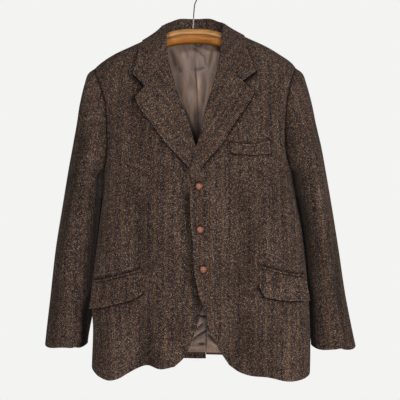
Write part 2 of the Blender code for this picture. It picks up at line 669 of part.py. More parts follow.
def make_lining(side):
    """Half of the back lining, inside the back and short of its hem and neck."""
    net = back_net(side)[:, :-1].copy()
    net[0, :, 1] += LINING_SHORT
    gap = -(CLOTH + LINING_LIFT)
    outer, inner = trim(on_skin(net, gap), on_skin(net, gap - LINING))
    wall(f"back_lining_{side_name(side)}", outer, inner, material("lining_satin", 0.4))


# ---- collar and lapels ------------------------------------------------------------------
def turned_profile(fold, seam, edge_rows, layer, stand_cells):
    """A folded strip, as one net of points: from the seam up its stand, over the fold in a
    half round and down its fall. fold and seam are rows of places, edge_rows a net of places
    from the fold (first column) to the outer edge."""
    radius = (CLEAR + CLOTH) / 2.0
    top = on_skin(fold, 0.0, layer)
    out = outward(fold[:, 0], fold[:, 1], layer)
    beyond = top - on_skin(edge_rows[:, 1], 0.0, layer)
    beyond = beyond - out * np.einsum("ij,ij->i", beyond, out)[:, None]
    beyond = beyond / np.linalg.norm(beyond, axis=1, keepdims=True)
    stand_shares = np.linspace(1.0, 0.0, stand_cells + 1)[:-1]
    stand = [on_skin(fold + (seam - fold) * share, -CLOTH / 2, layer) for share in stand_shares]
    arc = [top + out * (CLEAR / 2 - radius * math.cos(turn)) + beyond * (radius * math.sin(turn))
           for turn in np.linspace(0.0, math.pi, 5)]
    fall = [on_skin(edge_rows[:, k], CLEAR + CLOTH / 2, layer) for k in range(1, edge_rows.shape[1])]
    return np.stack(stand + arc + fall, axis=1)


def neck_line(side, kind, at):
    """Points on the collar's fold line, neck seam or outer edge, from the gorge (0) round to
    the centre back (1)."""
    points = []
    for row in COLLAR[side]:
        x = side * row[COLLAR_COLUMNS.index(kind + "_x")]
        z = row[COLLAR_COLUMNS.index(kind + "_z")]
        if row[0] == "side":
            points.append(skin(ridge_angle(side), z, "under"))
        else:
            points.append(skin(*places((x, z), row[0]), "under"))
    return smooth(at, NECK_SPACING, np.array(points))


def gorge_line(side, end, shares):
    """Points on the seam between collar and lapel: from the roll line through the notch's
    inner corner, then on to the given end."""
    start = ROLL[side][0]
    corner = NOTCH[side]
    out = np.interp(shares, (0.0, NOTCH_SHARE, 1.0), (start[0], corner[0], end[0]))
    up = np.interp(shares, (0.0, NOTCH_SHARE, 1.0), (start[1], corner[1], end[1]))
    return on_skin(places(np.stack([out, up], axis=-1), "front"), 0.0)


def collar_half(side, cells, shares):
    """Fold, seam and fall places of half a collar, from the gorge to the centre back."""
    at = np.linspace(0.0, 1.0, cells + 1)
    fold, seam, edge = [neck_line(side, kind, at) for kind in ("fold", "seam", "edge")]
    fall = fold[:, None] + (edge - fold)[:, None] * shares[None, :, None]
    tip = (side * COLLAR[side][0][5], COLLAR[side][0][6])
    bend = gorge_line(side, tip, shares) - fall[0]
    fade = np.clip(1.0 - at / GORGE_FADE, 0.0, 1.0) ** 1.5
    fall = fall + bend[None] * fade[:, None, None]
    return nearest_place(fold, side), nearest_place(seam, side), nearest_place(fall, side)


def make_collar():
    """The collar from one gorge round the neck to the other."""
    shares = np.array([0.0, 0.2, 0.4, NOTCH_SHARE, 0.8, 1.0])
    whole = []
    halves = [collar_half(side, COLLAR_CELLS, shares) for side in (RIGHT, LEFT)]
    for right, left in zip(*halves):
        left = left + np.array([2.0 * math.pi, 0.0])
        whole.append(np.concatenate([right, left[-2::-1]]))
    middle = turned_profile(*whole, "under", 3)
    normal = grid_normals(middle)
    outer, inner = trim(middle + normal * CLOTH / 2, middle - normal * CLOTH / 2,
                        rows=(2 * SEAM, 2 * SEAM), columns=(2 * SEAM, 0.0))
    wall("collar", outer, inner, tweed())


def make_lapel(side):
    """A lapel turned back from the roll line and lying on its front."""
    layer = "over" if side == LEFT else "under"
    shares = np.linspace(0.0, 1.0, LAPEL_ROWS + 1)
    across = np.linspace(0.0, 1.0, LAPEL_CELLS + 1)
    roll_xz = walk(ROLL[side], shares)
    edge_xz = walk(LAPEL_EDGE[side], shares)
    net_xz = roll_xz[:, None] + (edge_xz - roll_xz)[:, None] * across[None, :, None]
    tip = LAPEL_EDGE[side][0]
    corner = NOTCH[side]
    reach = abs(corner[0] - ROLL[side][0][0]) / abs(tip[0] - ROLL[side][0][0])
    top_x = np.interp(across, (0.0, reach, 1.0), (ROLL[side][0][0], corner[0], tip[0]))
    top_z = np.interp(across, (0.0, reach, 1.0), (ROLL[side][0][1], corner[1], tip[1]))
    bend = np.stack([top_x, top_z], axis=-1) - net_xz[0]
    fade = np.clip(1.0 - shares / GORGE_FADE, 0.0, 1.0) ** 1.5
    net_xz = net_xz + bend[None] * fade[:, None, None]
    net = places(net_xz, "front")
    seam = places(roll_xz + np.array([side * TURN_STAND, 0.0]), "front")
    middle = turned_profile(net[:, 0], seam, net, layer, 1)
    normal = grid_normals(middle)
    outer, inner = trim(middle + normal * CLOTH / 2, middle - normal * CLOTH / 2,
                        rows=(2 * SEAM, 0.0), columns=(SEAM, 0.0))
    wall(f"lapel_{side_name(side)}", outer, inner, tweed())


# ---- pockets and buttons ----------------------------------------------------------------
def make_flap(side):
    """A slanted pocket flap with its narrow jetting above."""
    rows = np.array(FLAP[side])
    at = np.linspace(0.0, 1.0, FLAP_CELLS + 1)
    line = smooth(at, np.linspace(0.0, 1.0, len(rows)), rows)
    depth = np.linspace(0.0, 1.0, 5)
    x = line[:, None, 0] + (line[:, 2] - line[:, 0])[:, None] * depth
    z = line[:, None, 1] + (line[:, 3] - line[:, 1])[:, None] * depth
    stand = FLAP_STAND * at[:, None] ** 2 * depth + FLAP_SPRING * depth
    net = places(np.stack([x, z], axis=-1), "front")
    low = FLAP_LIFT + stand
    outer, inner = trim(on_skin(net, low + CLOTH), on_skin(net, low))
    wall(f"flap_{side_name(side)}", outer, inner, tweed())

    lower = line[:, :2] + np.array([0.0, SEAM])
    upper = lower + np.array([0.0, JETTING_HEIGHT])
    net = places(np.stack([lower, upper], axis=1), "front")
    outer, inner = trim(on_skin(net, TRIM_LIFT + CLOTH), on_skin(net, TRIM_LIFT))
    wall(f"jetting_{side_name(side)}", outer, inner, tweed())


def make_welt():
    """The slanted chest pocket welt on the wearer's left front."""
    rows = np.array(WELT)
    at = np.linspace(0.0, 1.0, WELT_CELLS + 1)
    line = smooth(at, np.linspace(0.0, 1.0, len(rows)), rows)
    depth = np.linspace(0.0, 1.0, 3)
    x = line[:, None, 0] + (line[:, 2] - line[:, 0])[:, None] * depth
    z = line[:, None, 1] + (line[:, 3] - line[:, 1])[:, None] * depth
    net = places(np.stack([x, z], axis=-1), "front")
    lift = np.broadcast_to(TRIM_LIFT * (2.0 - depth), x.shape)
    outer, inner = trim(on_skin(net, lift + CLOTH, "over"), on_skin(net, lift, "over"))
    wall("chest_welt", outer, inner, tweed())


def make_button(name, x, z):
    """A domed leather button standing on the wearer's left front."""
    place = places(np.array([x, z]), "front")
    seat = on_skin(place, BUTTON_SEAT, "over")
    normal = outward(place[0:1], place[1:2], "over")[0]
    side_way = np.cross(normal, (0.0, 0.0, 1.0))
    side_way = side_way / np.linalg.norm(side_way)
    up_way = np.cross(side_way, normal)
    turn = np.linspace(0.0, 2.0 * math.pi, BUTTON_SIDES, endpoint=False)
    round_way = side_way * np.cos(turn)[:, None] + up_way * np.sin(turn)[:, None]
    profile = ((0.72, 0.00), (0.94, 0.18), (1.00, 0.42), (0.90, 0.70), (0.62, 0.92), (0.25, 1.00))
    points = []
    for radius, height in profile:
        points.append(seat + round_way * radius * BUTTON_RADIUS + normal * height * BUTTON_HEIGHT)
    points = np.concatenate(points + [[seat], [seat + normal * BUTTON_HEIGHT * 1.01]])
    first = len(profile) * BUTTON_SIDES
    index = np.arange(first).reshape(len(profile), BUTTON_SIDES)
    beside = np.roll(index, -1, axis=1)
    faces = []
    for ring in range(len(profile) - 1):
        for a, b, c, d in zip(index[ring], beside[ring], beside[ring + 1], index[ring + 1]):
            faces.append((a, b, c))
            faces.append((a, c, d))
    for a, b in zip(index[0], beside[0]):
        faces.append((b, a, first))
    for a, b in zip(index[-1], beside[-1]):
        faces.append((a, b, first + 1))
    add_object(name, points, faces, material("plaited_leather", 0.45))


# ---- sleeves ----------------------------------------------------------------------------
def armhole_ring(side):
    """The whole armhole as points: from the crown down the front, round the armpit and up
    the back."""
    front = skin(*armhole(side, "front")[::-1].T, "under")
    back = skin(*armhole(side, "back").T, "under")
    return np.concatenate([front, back[1:-1]])


def sleeve_fold(share, turn):
    """Sum of a sleeve's broad folds: bells along and round it."""
    total = np.zeros(np.broadcast(share, turn).shape)
    for row in SLEEVE_FOLDS:
        fold = dict(zip(SLEEVE_FOLD_COLUMNS, row))
        along = (share - fold["share"]) / fold["length"]
        round_it = (turn - fold["turn"]) / fold["width"]
        total = total + fold["depth"] * np.exp(-along ** 2 - round_it ** 2)
    return total


def sleeve_rings(side):
    """Rings from the armhole to the cuff: ovals between the outer and inner lines, which
    start as the armhole's own shape."""
    hole = armhole_ring(side)
    count = len(hole)
    rows = SLEEVE[side]
    knots = column(rows, SLEEVE_COLUMNS, "share")
    share = np.linspace(0.0, 1.0, SLEEVE_RINGS + 1) ** 1.15
    value = {name: smooth(share, knots, column(rows, SLEEVE_COLUMNS, name))[:, None]
             for name in SLEEVE_COLUMNS[1:]}
    turn = np.arange(count) / count
    phase = 2.0 * math.pi * turn[None]
    away = np.cos(phase)
    x = (value["outer_x"] + value["inner_x"]) / 2 + away * (value["outer_x"] - value["inner_x"]) / 2
    z = (value["outer_z"] + value["inner_z"]) / 2 + away * (value["outer_z"] - value["inner_z"]) / 2
    y = value["middle"] - np.sin(phase) * value["half_depth"]
    quarter = 2.0 * np.clip(np.sin(phase) * np.cos(phase), 0.0, None) * (away < 0.0)
    stretch = ease((share - 0.16) / 0.18) * (1.0 - ease((share - 0.82) / 0.18))
    x = x - SLEEVE_WRAP * quarter * stretch[:, None]
    rings = np.stack([side * x, y, z], axis=-1)
    fade = (1.0 - ease(share / 0.42))[:, None, None]
    rings = rings + fade * (hole - rings[0])[None]
    rings[..., 0] += side * SLEEVE_CLEAR
    normal = grid_normals(rings, closed_columns=True)
    out = rings - rings.mean(axis=1, keepdims=True)
    if np.einsum("ijk,ijk->", normal, out) < 0:
        normal = -normal
    bulge = sleeve_fold(share[:, None], turn[None]) * ease(share / 0.15)[:, None]
    rings = rings + normal * bulge[..., None]
    normal = grid_normals(rings, closed_columns=True)
    if np.einsum("ijk,ijk->", normal, out) < 0:
        normal = -normal
    return rings, normal


def make_sleeve(side):
    """A two-piece sleeve: the top sleeve over the crown and the under sleeve below."""
    rings, normal = sleeve_rings(side)
    inside = rings - normal * CLOTH
    count = rings.shape[1]
    behind, before = TOP_SLEEVE_CELLS
    spans = (("top_sleeve", -behind, before), ("under_sleeve", before, count - behind))
    for name, first, last in spans:
        columns = np.arange(first, last + 1) % count
        outer, inner = trim(rings[:, columns], inside[:, columns], rows=(2 * SEAM, 0.0),
                            columns=(SLEEVE_SEAM, SLEEVE_SEAM))
        wall(f"{name}_{side_name(side)}", outer, inner, tweed())


# ---- hanger -----------------------------------------------------------------------------
def make_hanger():
    """The wooden bow and its wire hook."""
    place = np.linspace(0.0, 1.0, BOW_STATIONS)
    across = column(BOW, BOW_COLUMNS, "x")
    x = across[0] + (across[-1] - across[0]) * place
    top = smooth(x, across, column(BOW, BOW_COLUMNS, "top"))
    tall = smooth(x, across, column(BOW, BOW_COLUMNS, "height"))
    thick = smooth(x, across, column(BOW, BOW_COLUMNS, "half_thickness"))
    centres = np.stack([x, np.zeros_like(x), top - tall / 2], axis=-1)
    slope = np.gradient(centres[:, 2], x)
    lean = 1.0 / np.sqrt(1.0 + slope ** 2)
    radii = np.stack([tall / 2 * lean, thick], axis=-1)
    tube("hanger_bow", centres, radii, BOW_SIDES, material("varnished_beech", 0.35))

    radius = HOOK_INNER_RADIUS + WIRE_RADIUS
    middle = WIRE_RADIUS - radius
    loop_start = math.radians(-50.0)
    angles = np.linspace(loop_start, HOOK_END_ANGLE, 24)
    loop = np.stack([radius * np.cos(angles), middle + radius * np.sin(angles)], axis=-1)
    route = np.concatenate([np.array(STEM), loop])
    route = walk(route, np.linspace(0.0, 1.0, WIRE_STATIONS))
    centres = np.stack([route[:, 0], np.zeros(len(route)), route[:, 1]], axis=-1)
    radii = np.full((len(route), 2), WIRE_RADIUS)
    tube("hanger_hook", centres, radii, WIRE_SIDES, material("bright_steel", 0.25, 1.0))


def main():
    for thing in list(bpy.data.objects):
        bpy.data.objects.remove(thing, do_unlink=True)
    for side in (LEFT, RIGHT):
        make_panels(side)
        make_lining(side)
        make_sleeve(side)
        make_lapel(side)
        make_flap(side)
    make_collar()
    make_welt()
    for name, (x, z) in BUTTONS.items():
        make_button(name, x, z)
    make_hanger()


main()
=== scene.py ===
"""The looks of a tweed hacking jacket that hangs closed on a wooden hanger.

The frame's solids give every piece its place. Each cloth piece here is a thin shell on the
form of its own solid: a point of the body surface is an angle round the body and a height,
and the soft folds and creases are troughs and ridges laid on that surface.
Metres, +Z up, the front faces -Y and the wearer's left side is +X.
"""
import math

import bpy
import numpy as np
from bpy.props import FloatProperty, FloatVectorProperty, PointerProperty
from bpy.types import Operator, Panel, PropertyGroup
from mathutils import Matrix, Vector


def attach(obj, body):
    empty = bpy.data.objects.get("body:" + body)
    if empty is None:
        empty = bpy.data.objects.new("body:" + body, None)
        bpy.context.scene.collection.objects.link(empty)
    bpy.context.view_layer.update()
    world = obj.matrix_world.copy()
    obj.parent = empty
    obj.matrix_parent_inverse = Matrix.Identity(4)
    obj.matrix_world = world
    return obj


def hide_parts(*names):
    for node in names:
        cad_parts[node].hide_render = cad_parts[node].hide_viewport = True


bl_info = {
    "name": "Tweed hacking jacket on a hanger",
    "version": (1, 0, 0),
    "blender": (4, 5, 0),
    "location": "3D View > Sidebar > Jacket",
    "description": "Builds the cloth, buttons, hanger and studio of a hanging tweed jacket",
    "category": "Add Mesh",
}

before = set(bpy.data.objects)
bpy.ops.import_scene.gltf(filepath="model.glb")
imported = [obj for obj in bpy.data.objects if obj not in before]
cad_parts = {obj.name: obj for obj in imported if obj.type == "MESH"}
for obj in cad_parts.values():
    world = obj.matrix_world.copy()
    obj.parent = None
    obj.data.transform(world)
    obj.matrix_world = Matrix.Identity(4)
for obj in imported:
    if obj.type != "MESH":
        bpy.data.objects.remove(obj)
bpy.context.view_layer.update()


LEFT = 1.0              # the wearer's left is +X
RIGHT = -1.0
WORD = {LEFT: "left", RIGHT: "right"}
TINY = 1e-12            # keeps a division by a length from failing
SEAM = 0.0003           # gap between two pieces at a seam
SEAM_GAPS = (SEAM / 2, SEAM / 2)
CLEAR = 0.0023          # air between a panel and what lies on it
LINING_CLEAR = 0.0016   # air between a back and its lining
TURN = 0.0030           # how far a front's border stays outside the roll line
TURN_STAND = 0.0018     # width of a lapel's own strip inside the roll line
FINE = 6                # cells of a shell for each cell of its solid
SIDE_ROWS = 12 * FINE   # a panel's rows along its side seam, its armhole and its shoulder seam
ARMHOLE_ROWS = 10 * FINE
SHOULDER_ROWS = 6 * FINE
PANEL_COLUMNS = 11 * FINE
SLEEVE_RINGS = 18 * FINE
COLLAR_CELLS = 15 * FINE                        # along half of the collar
LAPEL_ROWS = 14 * FINE
FALL_CELLS = 5 * FINE                           # across the fall of a collar or lapel
FOLD_POINTS = 2 * FINE + 1                      # round the fold of a collar or lapel
TOP_SLEEVE_CELLS = (5 * FINE, 6 * FINE)         # behind and in front of a sleeve's outer line
# Angles round the body: a side seam, just behind the wearer's side, and the shoulder ridge.
SEAM_ANGLE = {LEFT: math.radians(-8.0), RIGHT: math.radians(188.0)}
RIDGE_ANGLE = {LEFT: 0.0, RIGHT: math.pi}
BODY_RADIUS = 0.22      # what turns an angle round the body into a length, and one at its front
FRONT_RADIUS = 0.12
GORGE_FADE = 0.3        # share of a collar or lapel over which it bends to the gorge
LAPEL_OVER = 0.0034     # how far the upper front stands off under its lapel, and at its closure
CLOSURE_OVER = 0.0042
OVERLAP_EDGE = (0.034, 0.048)                   # where across it starts to lie down, and how soon
OVERLAP_LAPEL = ((-0.250, 0.110), (-0.465, 0.060))      # heights of the lapel's rise and end
OVERLAP_CLOSURE = (-0.290, 0.080)
TRIM_LIFT = 0.0012      # air between a front and its jetting or welt
FLAP_LIFT = 0.0014      # air between a front and the top of its flap
FLAP_SPRING = 0.0022    # how much further a flap's lower edge stands off
FLAP_WAVE = 0.0012      # height of the wave along that edge
JETTING_HEIGHT = 0.0050
HOOK_INNER_RADIUS = 0.0200                      # of the hook's round, which runs from one angle
HOOK_START_ANGLE = math.radians(-50.0)          # over its top to the other
HOOK_END_ANGLE = math.radians(212.0)
CREASE_DEPTH = 1.8      # what the depths of the body's smaller creases are multiplied by
CREASE_FADE = 0.12      # how far a crease runs past its ends, as a share of its length
CREASE_SWELL = 0.4      # share of its length over which it grows to its full depth
EDGE_REST = 0.0021      # how much nearer a turned edge lies than its fold
COLLAR_SPRING = 0.0076  # how far an outer edge springs off the cloth below it, at most
LAPEL_SPRING = 0.0085
# How deep and how wide a front sinks beside an edge that lies on it, and how dark the shade painted
# there is.
LAPEL_DIP = (0.0030, 0.0050, 0.9)
NOTCH_DIP = (0.0040, 0.0085, 1.0)
FLAP_DIP = (0.0028, 0.0050, 1.0)
TRIM_DIP = (0.0016, 0.0034, 1.0)
CLOSURE_DIP = (0.0045, 0.0165, 0.72)
WAVINESS = 0.0009       # height of the cloth's faint waves, and of the lining's
LINING_WAVINESS = 0.0006
TWILL_LINE = 0.005      # distance between the herringbone's lines, drawn at twice the real one
PAINTED_SHADE_RANGE = (-1.0, 1.0, 0.10, 1.90)            # ends of the painted shade and light value, and the brightness at each
# The cloth's faint waves: how fast each turns across and up, for each metre, and its start.
WAVES = ((61.0, 17.0, 0.7), (38.0, -29.0, 2.1), (13.0, 47.0, 4.0))
RIM_STEPS = np.array([0.067, 0.25, 0.5])        # distances from an edge, in thicknesses
RIM_SHARES = (0.3, 0.9)         # most of a shell's first cell that its gap and its rim take up
FOLD_SHADE_SHARE = 0.6        # how much a fold's height counts towards the shade painted in its troughs and the light painted on its ridges, and the least and most of it that does
FOLD_SHADE_ENDS = (-0.8, 0.6)
CREASE_SHADE_HEIGHT = 0.010             # height of a fold that counts as one: on the body,
SLEEVE_FOLD_SHADE_HEIGHT = 0.006             # on a sleeve
LINING_SHADE_HEIGHT = 0.0024            # and on the lining
EDGE_HIGHLIGHT = (0.7, 0.0025)        # how bright the highlight painted along a collar's or lapel's edge is, and how wide
TRIM_HIGHLIGHT = (0.5, 0.0022)        # a pocket piece's edges
CLOSURE_HIGHLIGHT = (0.35, 0.006)     # the upper front's edge
SEAM_WIDTH = 0.0020             # width of the shade or highlight painted along the seam where a piece is sewn on
HOLE_SHADE = (0.8, 0.0028)      # how dark the shade painted along the armhole seam is, and how wide

# Level sections of the body: reach to the wearer's left and right, depth of front and back,
# and how square the section is (2 is an ellipse).
BODY_COLUMNS = ("height", "left", "right", "front", "back", "square")
BODY = (
    (-0.0600, 0.0540, 0.0580, 0.034, 0.054, 2.1),
    (-0.0950, 0.0605, 0.0655, 0.036, 0.055, 2.2),
    (-0.1080, 0.0655, 0.0695, 0.037, 0.054, 2.2),
    (-0.1219, 0.0865, 0.0820, 0.040, 0.053, 2.2),
    (-0.1403, 0.1255, 0.1090, 0.045, 0.053, 2.3),
    (-0.1587, 0.1645, 0.1470, 0.052, 0.054, 2.4),
    (-0.1771, 0.1945, 0.1855, 0.059, 0.056, 2.5),
    (-0.1955, 0.2208, 0.2139, 0.065, 0.058, 2.5),
    (-0.2139, 0.2340, 0.2325, 0.069, 0.060, 2.6),
    (-0.2500, 0.2355, 0.2310, 0.076, 0.062, 2.6),
    (-0.3000, 0.2290, 0.2210, 0.082, 0.063, 2.6),
    (-0.3500, 0.2235, 0.2145, 0.085, 0.062, 2.6),
    (-0.4000, 0.2205, 0.2095, 0.086, 0.060, 2.6),
    (-0.4400, 0.2205, 0.2065, 0.086, 0.058, 2.6),
    (-0.5000, 0.2295, 0.2100, 0.085, 0.055, 2.7),
    (-0.5700, 0.2432, 0.2188, 0.083, 0.053, 2.7),
    (-0.6400, 0.2515, 0.2280, 0.081, 0.054, 2.7),
    (-0.7200, 0.2590, 0.2375, 0.078, 0.056, 2.7),
    (-0.8000, 0.2632, 0.2330, 0.075, 0.058, 2.7),
    (-0.8700, 0.2640, 0.2355, 0.071, 0.059, 2.6),
    (-0.9300, 0.2620, 0.2375, 0.068, 0.060, 2.6),
)

# Large soft folds of the body: a line from its top to its bottom, half width, and depth
# outward (negative is a trough), which grows from nothing at the top.
FOLDS = {
    "front": (
        (-0.108, -0.700, -0.106, -0.900, 0.020, -0.011),
        (-0.150, -0.740, -0.172, -0.920, 0.026, 0.006),
        (-0.060, -0.640, -0.062, -0.900, 0.026, 0.004),
        (0.130, -0.740, 0.150, -0.920, 0.030, -0.004),
        (0.205, -0.720, 0.215, -0.920, 0.026, 0.005),
        (-0.150, -0.360, -0.120, -0.560, 0.030, -0.004),
        (0.150, -0.420, 0.120, -0.600, 0.030, -0.004),
    ),
    "back": (
        (-0.120, -0.420, -0.110, -0.900, 0.035, -0.007),
        (0.105, -0.450, 0.125, -0.900, 0.035, -0.007),
        (-0.055, -0.560, -0.045, -0.900, 0.028, 0.004),
        (0.065, -0.560, 0.075, -0.900, 0.028, 0.004),
    ),
}

# The roll line of each lapel, from the gorge down to the break (x across, z up).
ROLL = {
    LEFT: ((0.0567, -0.1950), (0.0520, -0.2222), (0.0426, -0.2600), (0.0307, -0.2973),
           (0.0213, -0.3336), (0.0138, -0.3698), (0.0045, -0.4005), (-0.0063, -0.4304),
           (-0.0080, -0.4600)),
    RIGHT: ((-0.0601, -0.2043), (-0.0552, -0.2222), (-0.0449, -0.2600), (-0.0325, -0.2973),
            (-0.0214, -0.3243), (-0.0105, -0.3607), (0.0004, -0.3930), (0.0100, -0.4200),
            (0.0180, -0.4470)),
}

# The front edge of each front, from below the lapel to the turn of the cutaway corner.
FRONT_EDGE = {
    LEFT: ((-0.0106, -0.5000), (-0.0106, -0.5256), (-0.0071, -0.5710), (-0.0036, -0.6154),
           (-0.0017, -0.6576), (0.0045, -0.6950), (0.0125, -0.7247), (0.0202, -0.7418),
           (0.0250, -0.7618), (0.0290, -0.7798), (0.0354, -0.7983), (0.0463, -0.8211),
           (0.0569, -0.8406), (0.0754, -0.8699)),
    RIGHT: ((0.0270, -0.4900), (0.0290, -0.5300), (0.0290, -0.5900), (0.0290, -0.6576),
            (0.0270, -0.6950), (0.0205, -0.7300), (0.0156, -0.7498), (0.0095, -0.7682),
            (0.0019, -0.7953), (-0.0057, -0.8152), (-0.0142, -0.8350), (-0.0255, -0.8549),
            (-0.0440, -0.8720)),
}

# The front hem of each front, from that corner out to the side.
FRONT_HEM = {
    LEFT: ((0.0754, -0.8699), (0.0950, -0.8840), (0.1170, -0.8927), (0.1620, -0.8996),
           (0.2009, -0.9090), (0.2382, -0.9100), (0.2560, -0.9060)),
    RIGHT: ((-0.0440, -0.8720), (-0.0772, -0.8792), (-0.1049, -0.8730), (-0.1244, -0.8774),
            (-0.1505, -0.8909), (-0.1617, -0.8980), (-0.1890, -0.9080), (-0.2130, -0.9040),
            (-0.2310, -0.8930)),
}
SIDE_HEM = {LEFT: -0.8980, RIGHT: -0.8870}      # height of the hem at the side seam

# The front armhole seam from the shoulder point down to the foot of its scoop.
FRONT_ARMHOLE = {
    LEFT: ((0.2210, -0.2250), (0.2130, -0.2474), (0.2065, -0.2800), (0.2020, -0.3200),
           (0.2005, -0.3600), (0.2030, -0.4000), (0.2110, -0.4280)),
    RIGHT: ((-0.2200, -0.2284), (-0.2090, -0.2586), (-0.2010, -0.2842), (-0.1965, -0.3184),
            (-0.1950, -0.3611), (-0.1955, -0.4000), (-0.2010, -0.4280)),
}
BACK_ARMHOLE = {
    LEFT: ((0.2200, -0.2300), (0.2120, -0.2600), (0.2075, -0.3000), (0.2065, -0.3500),
           (0.2090, -0.3950), (0.2150, -0.4270)),
    RIGHT: ((-0.2180, -0.2300), (-0.2080, -0.2600), (-0.2010, -0.3000), (-0.1985, -0.3500),
            (-0.1990, -0.3950), (-0.2030, -0.4270)),
}
SHOULDER_POINT = -0.2065        # height where the shoulder seam meets the armhole
ARMPIT = -0.4400                # height of the armhole's lowest point
NECK_POINT = -0.1212            # height where the shoulder seam meets the neck seam

# Centre back line, from the neck down to the hem.
CENTRE_BACK = ((-0.0030, -0.1120), (0.0020, -0.2500), (0.0080, -0.4000), (0.0140, -0.5600),
               (0.0200, -0.7300), (0.0258, -0.8840))

# Half of the collar, from the gorge round to the centre back: fold line, neck seam and outer
# edge, each as distance from the middle and height. The face says where the row lies.
COLLAR_COLUMNS = ("face", "fold_x", "fold_z", "seam_x", "seam_z", "edge_x", "edge_z")
COLLAR = {
    LEFT: (
        ("front", 0.0567, -0.1950, 0.0597, -0.1950, 0.1311, -0.2303),
        ("front", 0.0600, -0.1655, 0.0660, -0.1690, 0.1200, -0.1985),
        ("front", 0.0630, -0.1350, 0.0740, -0.1440, 0.1130, -0.1700),
        ("side", 0.0660, -0.1060, 0.0860, -0.1212, 0.1053, -0.1320),
        ("back", 0.0545, -0.0940, 0.0720, -0.1165, 0.0900, -0.1370),
        ("back", 0.0345, -0.0805, 0.0440, -0.1130, 0.0520, -0.1360),
        ("back", 0.0000, -0.0785, 0.0000, -0.1120, 0.0000, -0.1350),
    ),
    RIGHT: (
        ("front", 0.0601, -0.2043, 0.0631, -0.2043, 0.1328, -0.2358),
        ("front", 0.0640, -0.1655, 0.0700, -0.1690, 0.1268, -0.2082),
        ("front", 0.0665, -0.1350, 0.0760, -0.1440, 0.1203, -0.1720),
        ("side", 0.0687, -0.1100, 0.0830, -0.1212, 0.1140, -0.1420),
        ("back", 0.0580, -0.0940, 0.0720, -0.1165, 0.0950, -0.1400),
        ("back", 0.0365, -0.0808, 0.0440, -0.1130, 0.0550, -0.1365),
        ("back", 0.0000, -0.0785, 0.0000, -0.1120, 0.0000, -0.1350),
    ),
}
NECK_SPACING = (0.0, 0.14, 0.28, 0.45, 0.62, 0.80, 1.0)     # place of each row round the neck
NECK_SHARE = NECK_SPACING[3]                                # and of the shoulder seam
NOTCH = {LEFT: (0.1038, -0.2508), RIGHT: (-0.1086, -0.2620)}        # inner corner of the notch
NOTCH_SHARE = 0.6                                                   # its place on the gorge end

# The outer edge of each lapel, from its tip down to the break.
LAPEL_EDGE = {
    LEFT: ((0.1272, -0.2760), (0.1200, -0.2920), (0.1035, -0.3176), (0.0804, -0.3491),
           (0.0612, -0.3794), (0.0362, -0.4128), (0.0140, -0.4400), (0.0005, -0.4620)),
    RIGHT: ((-0.1281, -0.2856), (-0.1187, -0.3055), (-0.0932, -0.3398), (-0.0653, -0.3820),
            (-0.0347, -0.4153), (-0.0127, -0.4373), (0.0040, -0.4500)),
}

# Hacking pocket flaps, from the inner end to the outer end: x and z of the top seam, then of
# the lower edge. The chest welt below has the same columns.
FLAP = {
    LEFT: ((0.1417, -0.6560, 0.1404, -0.6980), (0.1540, -0.6590, 0.1500, -0.7165),
           (0.1750, -0.6650, 0.1720, -0.7245), (0.2000, -0.6715, 0.2000, -0.7285),
           (0.2250, -0.6765, 0.2260, -0.7312), (0.2450, -0.6805, 0.2460, -0.7320)),
    RIGHT: ((-0.1164, -0.6634, -0.1132, -0.7110), (-0.1300, -0.6672, -0.1270, -0.7205),
            (-0.1500, -0.6730, -0.1480, -0.7290), (-0.1750, -0.6800, -0.1740, -0.7365),
            (-0.2000, -0.6868, -0.2010, -0.7440), (-0.2240, -0.6925, -0.2250, -0.7490)),
}
FLAP_STAND = 0.0100             # how far a flap's outer lower corner stands off the body

WELT = ((0.0764, -0.3850, 0.0800, -0.4066), (0.1050, -0.3870, 0.1040, -0.4100),
        (0.1332, -0.3866, 0.1290, -0.4105), (0.1622, -0.3779, 0.1660, -0.4075))

BUTTON_CLEAR = 0.0009           # air between a button and its front
BUTTONS = {"button_top": (0.0094, -0.4787), "button_middle": (0.0117, -0.5719),
           "button_bottom": (0.0184, -0.6576)}

